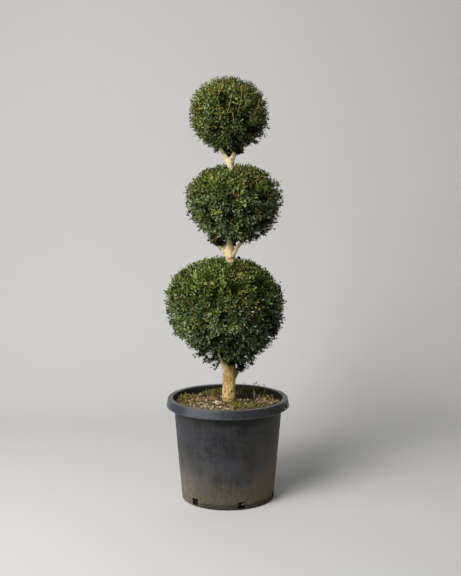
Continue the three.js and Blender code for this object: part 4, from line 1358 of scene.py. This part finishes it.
# A tint for each leaf: its spray's, but young at the tips of strong sprays, painted shade far down the
# shoot, and on some of the lower leaves of weak sprays a pale glossy tint that is partly their pale underside
# and partly a painted glint
def leafTint(tint, power, rank, height, rng):
    chance = rng.uniform(size=len(rank))
    young = (rank > vigour["youngRank"]) & (tint < tintOf["leafOlive"])
    young &= chance < vigour["young"] * ramp(power, *vigour["youngFrom"])
    tint = np.where(young, tintOf["leafYoung"], tint)
    old = rank < vigour["oldRank"]
    # painted shade far down the shoot
    tint = np.where(old & (chance < vigour["shade"]), tintOf["leafShade"], tint)
    # partly the pale underside and partly a painted glint, on some lower leaves of weak sprays
    pale = vigour["pale"] * ramp(height, *vigour["paleFrom"]) * ramp(power, *vigour["paleWeak"])
    return np.where(~old & (chance > 1 - pale), tintOf["leafPaleGlint"], tint)


# A ball: branches from the limbs inside it, twigs from the outer halves of the branches, shoots and
# bare stems from the twigs, and leaves up the shoots, each kind as pieces of its own
def makeBall(name, ball, leafMaterials, woodMaterials):
    rng = np.random.default_rng(ball["seed"])
    node = "foliage_" + name
    middle = np.array([ball["x"], 0, ball["z"]])
    inside = np.concatenate([limbs[limb][:, :3] for limb in ball["limbs"]])
    offset = inside - middle
    inside = inside[np.linalg.norm(offset, axis=1) < reach(ball, unit(offset), wood["limbInset"])]
    branches, twigs = wood["branches"], wood["twigs"]
    branch = growWood(ball, middle, "branches", inside, rng)
    twig = growWood(ball, middle, "twigs", branch[:, branches["steps"] // 2:].reshape(-1, 3), rng)
    points, faces = tubes(branch, np.linspace(*branches["radius"], branches["steps"]), branches["sides"])
    piece = newPiece("branches_" + name, points, faces, [barkMaterial])
    storeValue(piece, "relief", cloud(points, wood["reliefCell"], ball["seed"]) * wood["relief"])
    dress(piece, "bark", node)
    hosts = twig[:, 1:].reshape(-1, 3)
    root, bend, tip, depth, beyond = growShoots(ball, middle, hosts, rng)
    stems = growStems(ball, middle, hosts)
    bare = np.arange(len(twig) + len(stems)) >= len(twig)
    radii = [np.linspace(*twigs[kind], twigs["steps"]) for kind in ("stemRadius", "radius")]
    points, faces = tubes(np.concatenate([twig, stems]), np.where(bare[:, None], *radii), twigs["sides"])
    tones = list(wood["tones"])
    tint = faceTints(np.where(bare, tones.index("stemPale"), tones.index("twigTan")), faces)
    dress(newPiece("twigs_" + name, points, faces, woodMaterials, tint), "bark", node)
    paths = bentPaths(root, bend, tip, evenSteps(shoots["steps"]))
    points, faces = tubes(paths, np.linspace(*shoots["radius"], shoots["steps"]), shoots["sides"])
    tint = faceTints(rng.choice(len(shoots["toneShares"]), len(tip), p=shoots["toneShares"]), faces)
    dress(newPiece("shoots_" + name, points, faces, woodMaterials, tint), "bark", node)
    *placed, spray, rank = growLeaves(ball, middle, root, bend, tip, beyond, rng)
    tint, power = [part[spray] for part in sprayTints(ball, tip, depth, middle, rng)]
    tint = leafTint(tint, power, rank, unit(placed[0] - middle)[:, 2], rng)
    points, faces = leafPoints(*placed)
    kept = clearOfGaps(ball, points)
    points, tint = points[kept], tint[kept]
    for part, chosen in enumerate(np.array_split(np.arange(len(points)), ball["pieces"])):
        block = repeated(faces, len(chosen), points.shape[1])
        piece = newPiece(f"leaves_{name}_{part + 1}", points[chosen], [block], leafMaterials,
                         np.repeat(tint[chosen], len(faces)))
        dress(piece, "leaves", node)
    print(f"ball {name}: {len(tip)} shoots, {len(points)} leaves")


ballLeaves = tintMaterials(leafFinish)
ballWood = tintMaterials(wood)
for ballName, ballSettings in balls.items():
    makeBall(ballName, ballSettings, ballLeaves, ballWood)


# Weeds in the pot

# A plant is x, y, its height, its leaf size and its tone
weeds = {"plants": ((87, 40, 32, 0.45, 1), (85, 44, 22, 0.45, 1), (96, 160, 27, 1, 0), (108, 152, 25, 1, 0),
                    (122, 142, 27, 1, 0), (60, 164, 23, 1, 0)),
         "stemRadius": (0.9, 0.5), "stemSteps": 6, "stemSides": 5, "sprigThick": 1.7, "sunk": 2, "lean": 0.12,
         "sway": 0.1, "pairsAt": (0.45, 0.7, 0.97), "rise": (5, 45), "leafLength": 10, "lengths": (0.7, 1.2),
         "seed": 51, "roughness": 0.6, "gloss": 0.3,
         "tones": {"weedGreen": (0.05, 0.072, 0.02), "weedPale": (0.5, 0.5, 0.24)}}


# Weeds: bent stems with pairs of small leaves, each pair square to the last
def makeWeeds():
    rng = np.random.default_rng(weeds["seed"])
    tints = tintMaterials(weeds)
    x, y, height, size, tone = np.array(weeds["plants"], float).T
    count, pairs, steps, sunk = len(x), len(weeds["pairsAt"]), weeds["stemSteps"], weeds["sunk"]
    tall = height[:, None]
    root = np.stack([x, y, soilLevel(x, y) - sunk], 1)
    tip = root + up * (tall + sunk) + tall * rng.normal(0, weeds["lean"], (count, 3)) * [1, 1, 0]
    bend = (root + tip) / 2 + tall * rng.normal(0, weeds["sway"], (count, 3)) * [1, 1, 0]
    thick = np.where(tone > 0, weeds["sprigThick"], 1)[:, None]
    stems = bentPaths(root, bend, tip, evenSteps(steps))
    points, faces = tubes(stems, thick * np.linspace(*weeds["stemRadius"], steps), weeds["stemSides"])
    shade = faceTints(np.full(count, list(weeds["tones"]).index("weedPale")), faces)
    dress(newPiece("weed_stems", points, faces, tints, shade), "leaves")
    node = bentPaths(root, bend, tip, weeds["pairsAt"])[:, :, None]
    turn = rng.uniform(0, math.pi, (count, 1)) + np.arange(pairs) * math.pi / 2
    turn = np.stack([turn, turn + math.pi], -1)
    along = raised(turn, np.radians(rng.uniform(*weeds["rise"], turn.shape)))
    across = turnedPoints(1, 0, turn)
    start = np.broadcast_to(node, along.shape)
    flat = [part.reshape(-1, 3) for part in (start, along, across, np.cross(across, along))]
    each = len(flat[0]) // count
    length = weeds["leafLength"] * np.repeat(size, each) * rng.uniform(*weeds["lengths"], count * each)
    points, faces = leafPoints(*flat, length)
    shade = np.repeat(tone.astype(int), each * len(faces))
    block = repeated(faces, len(length), points.shape[1])
    dress(newPiece("weed_leaves", points, [block], tints, shade), "leaves")


makeWeeds()
print("weeds: stems and leaves")
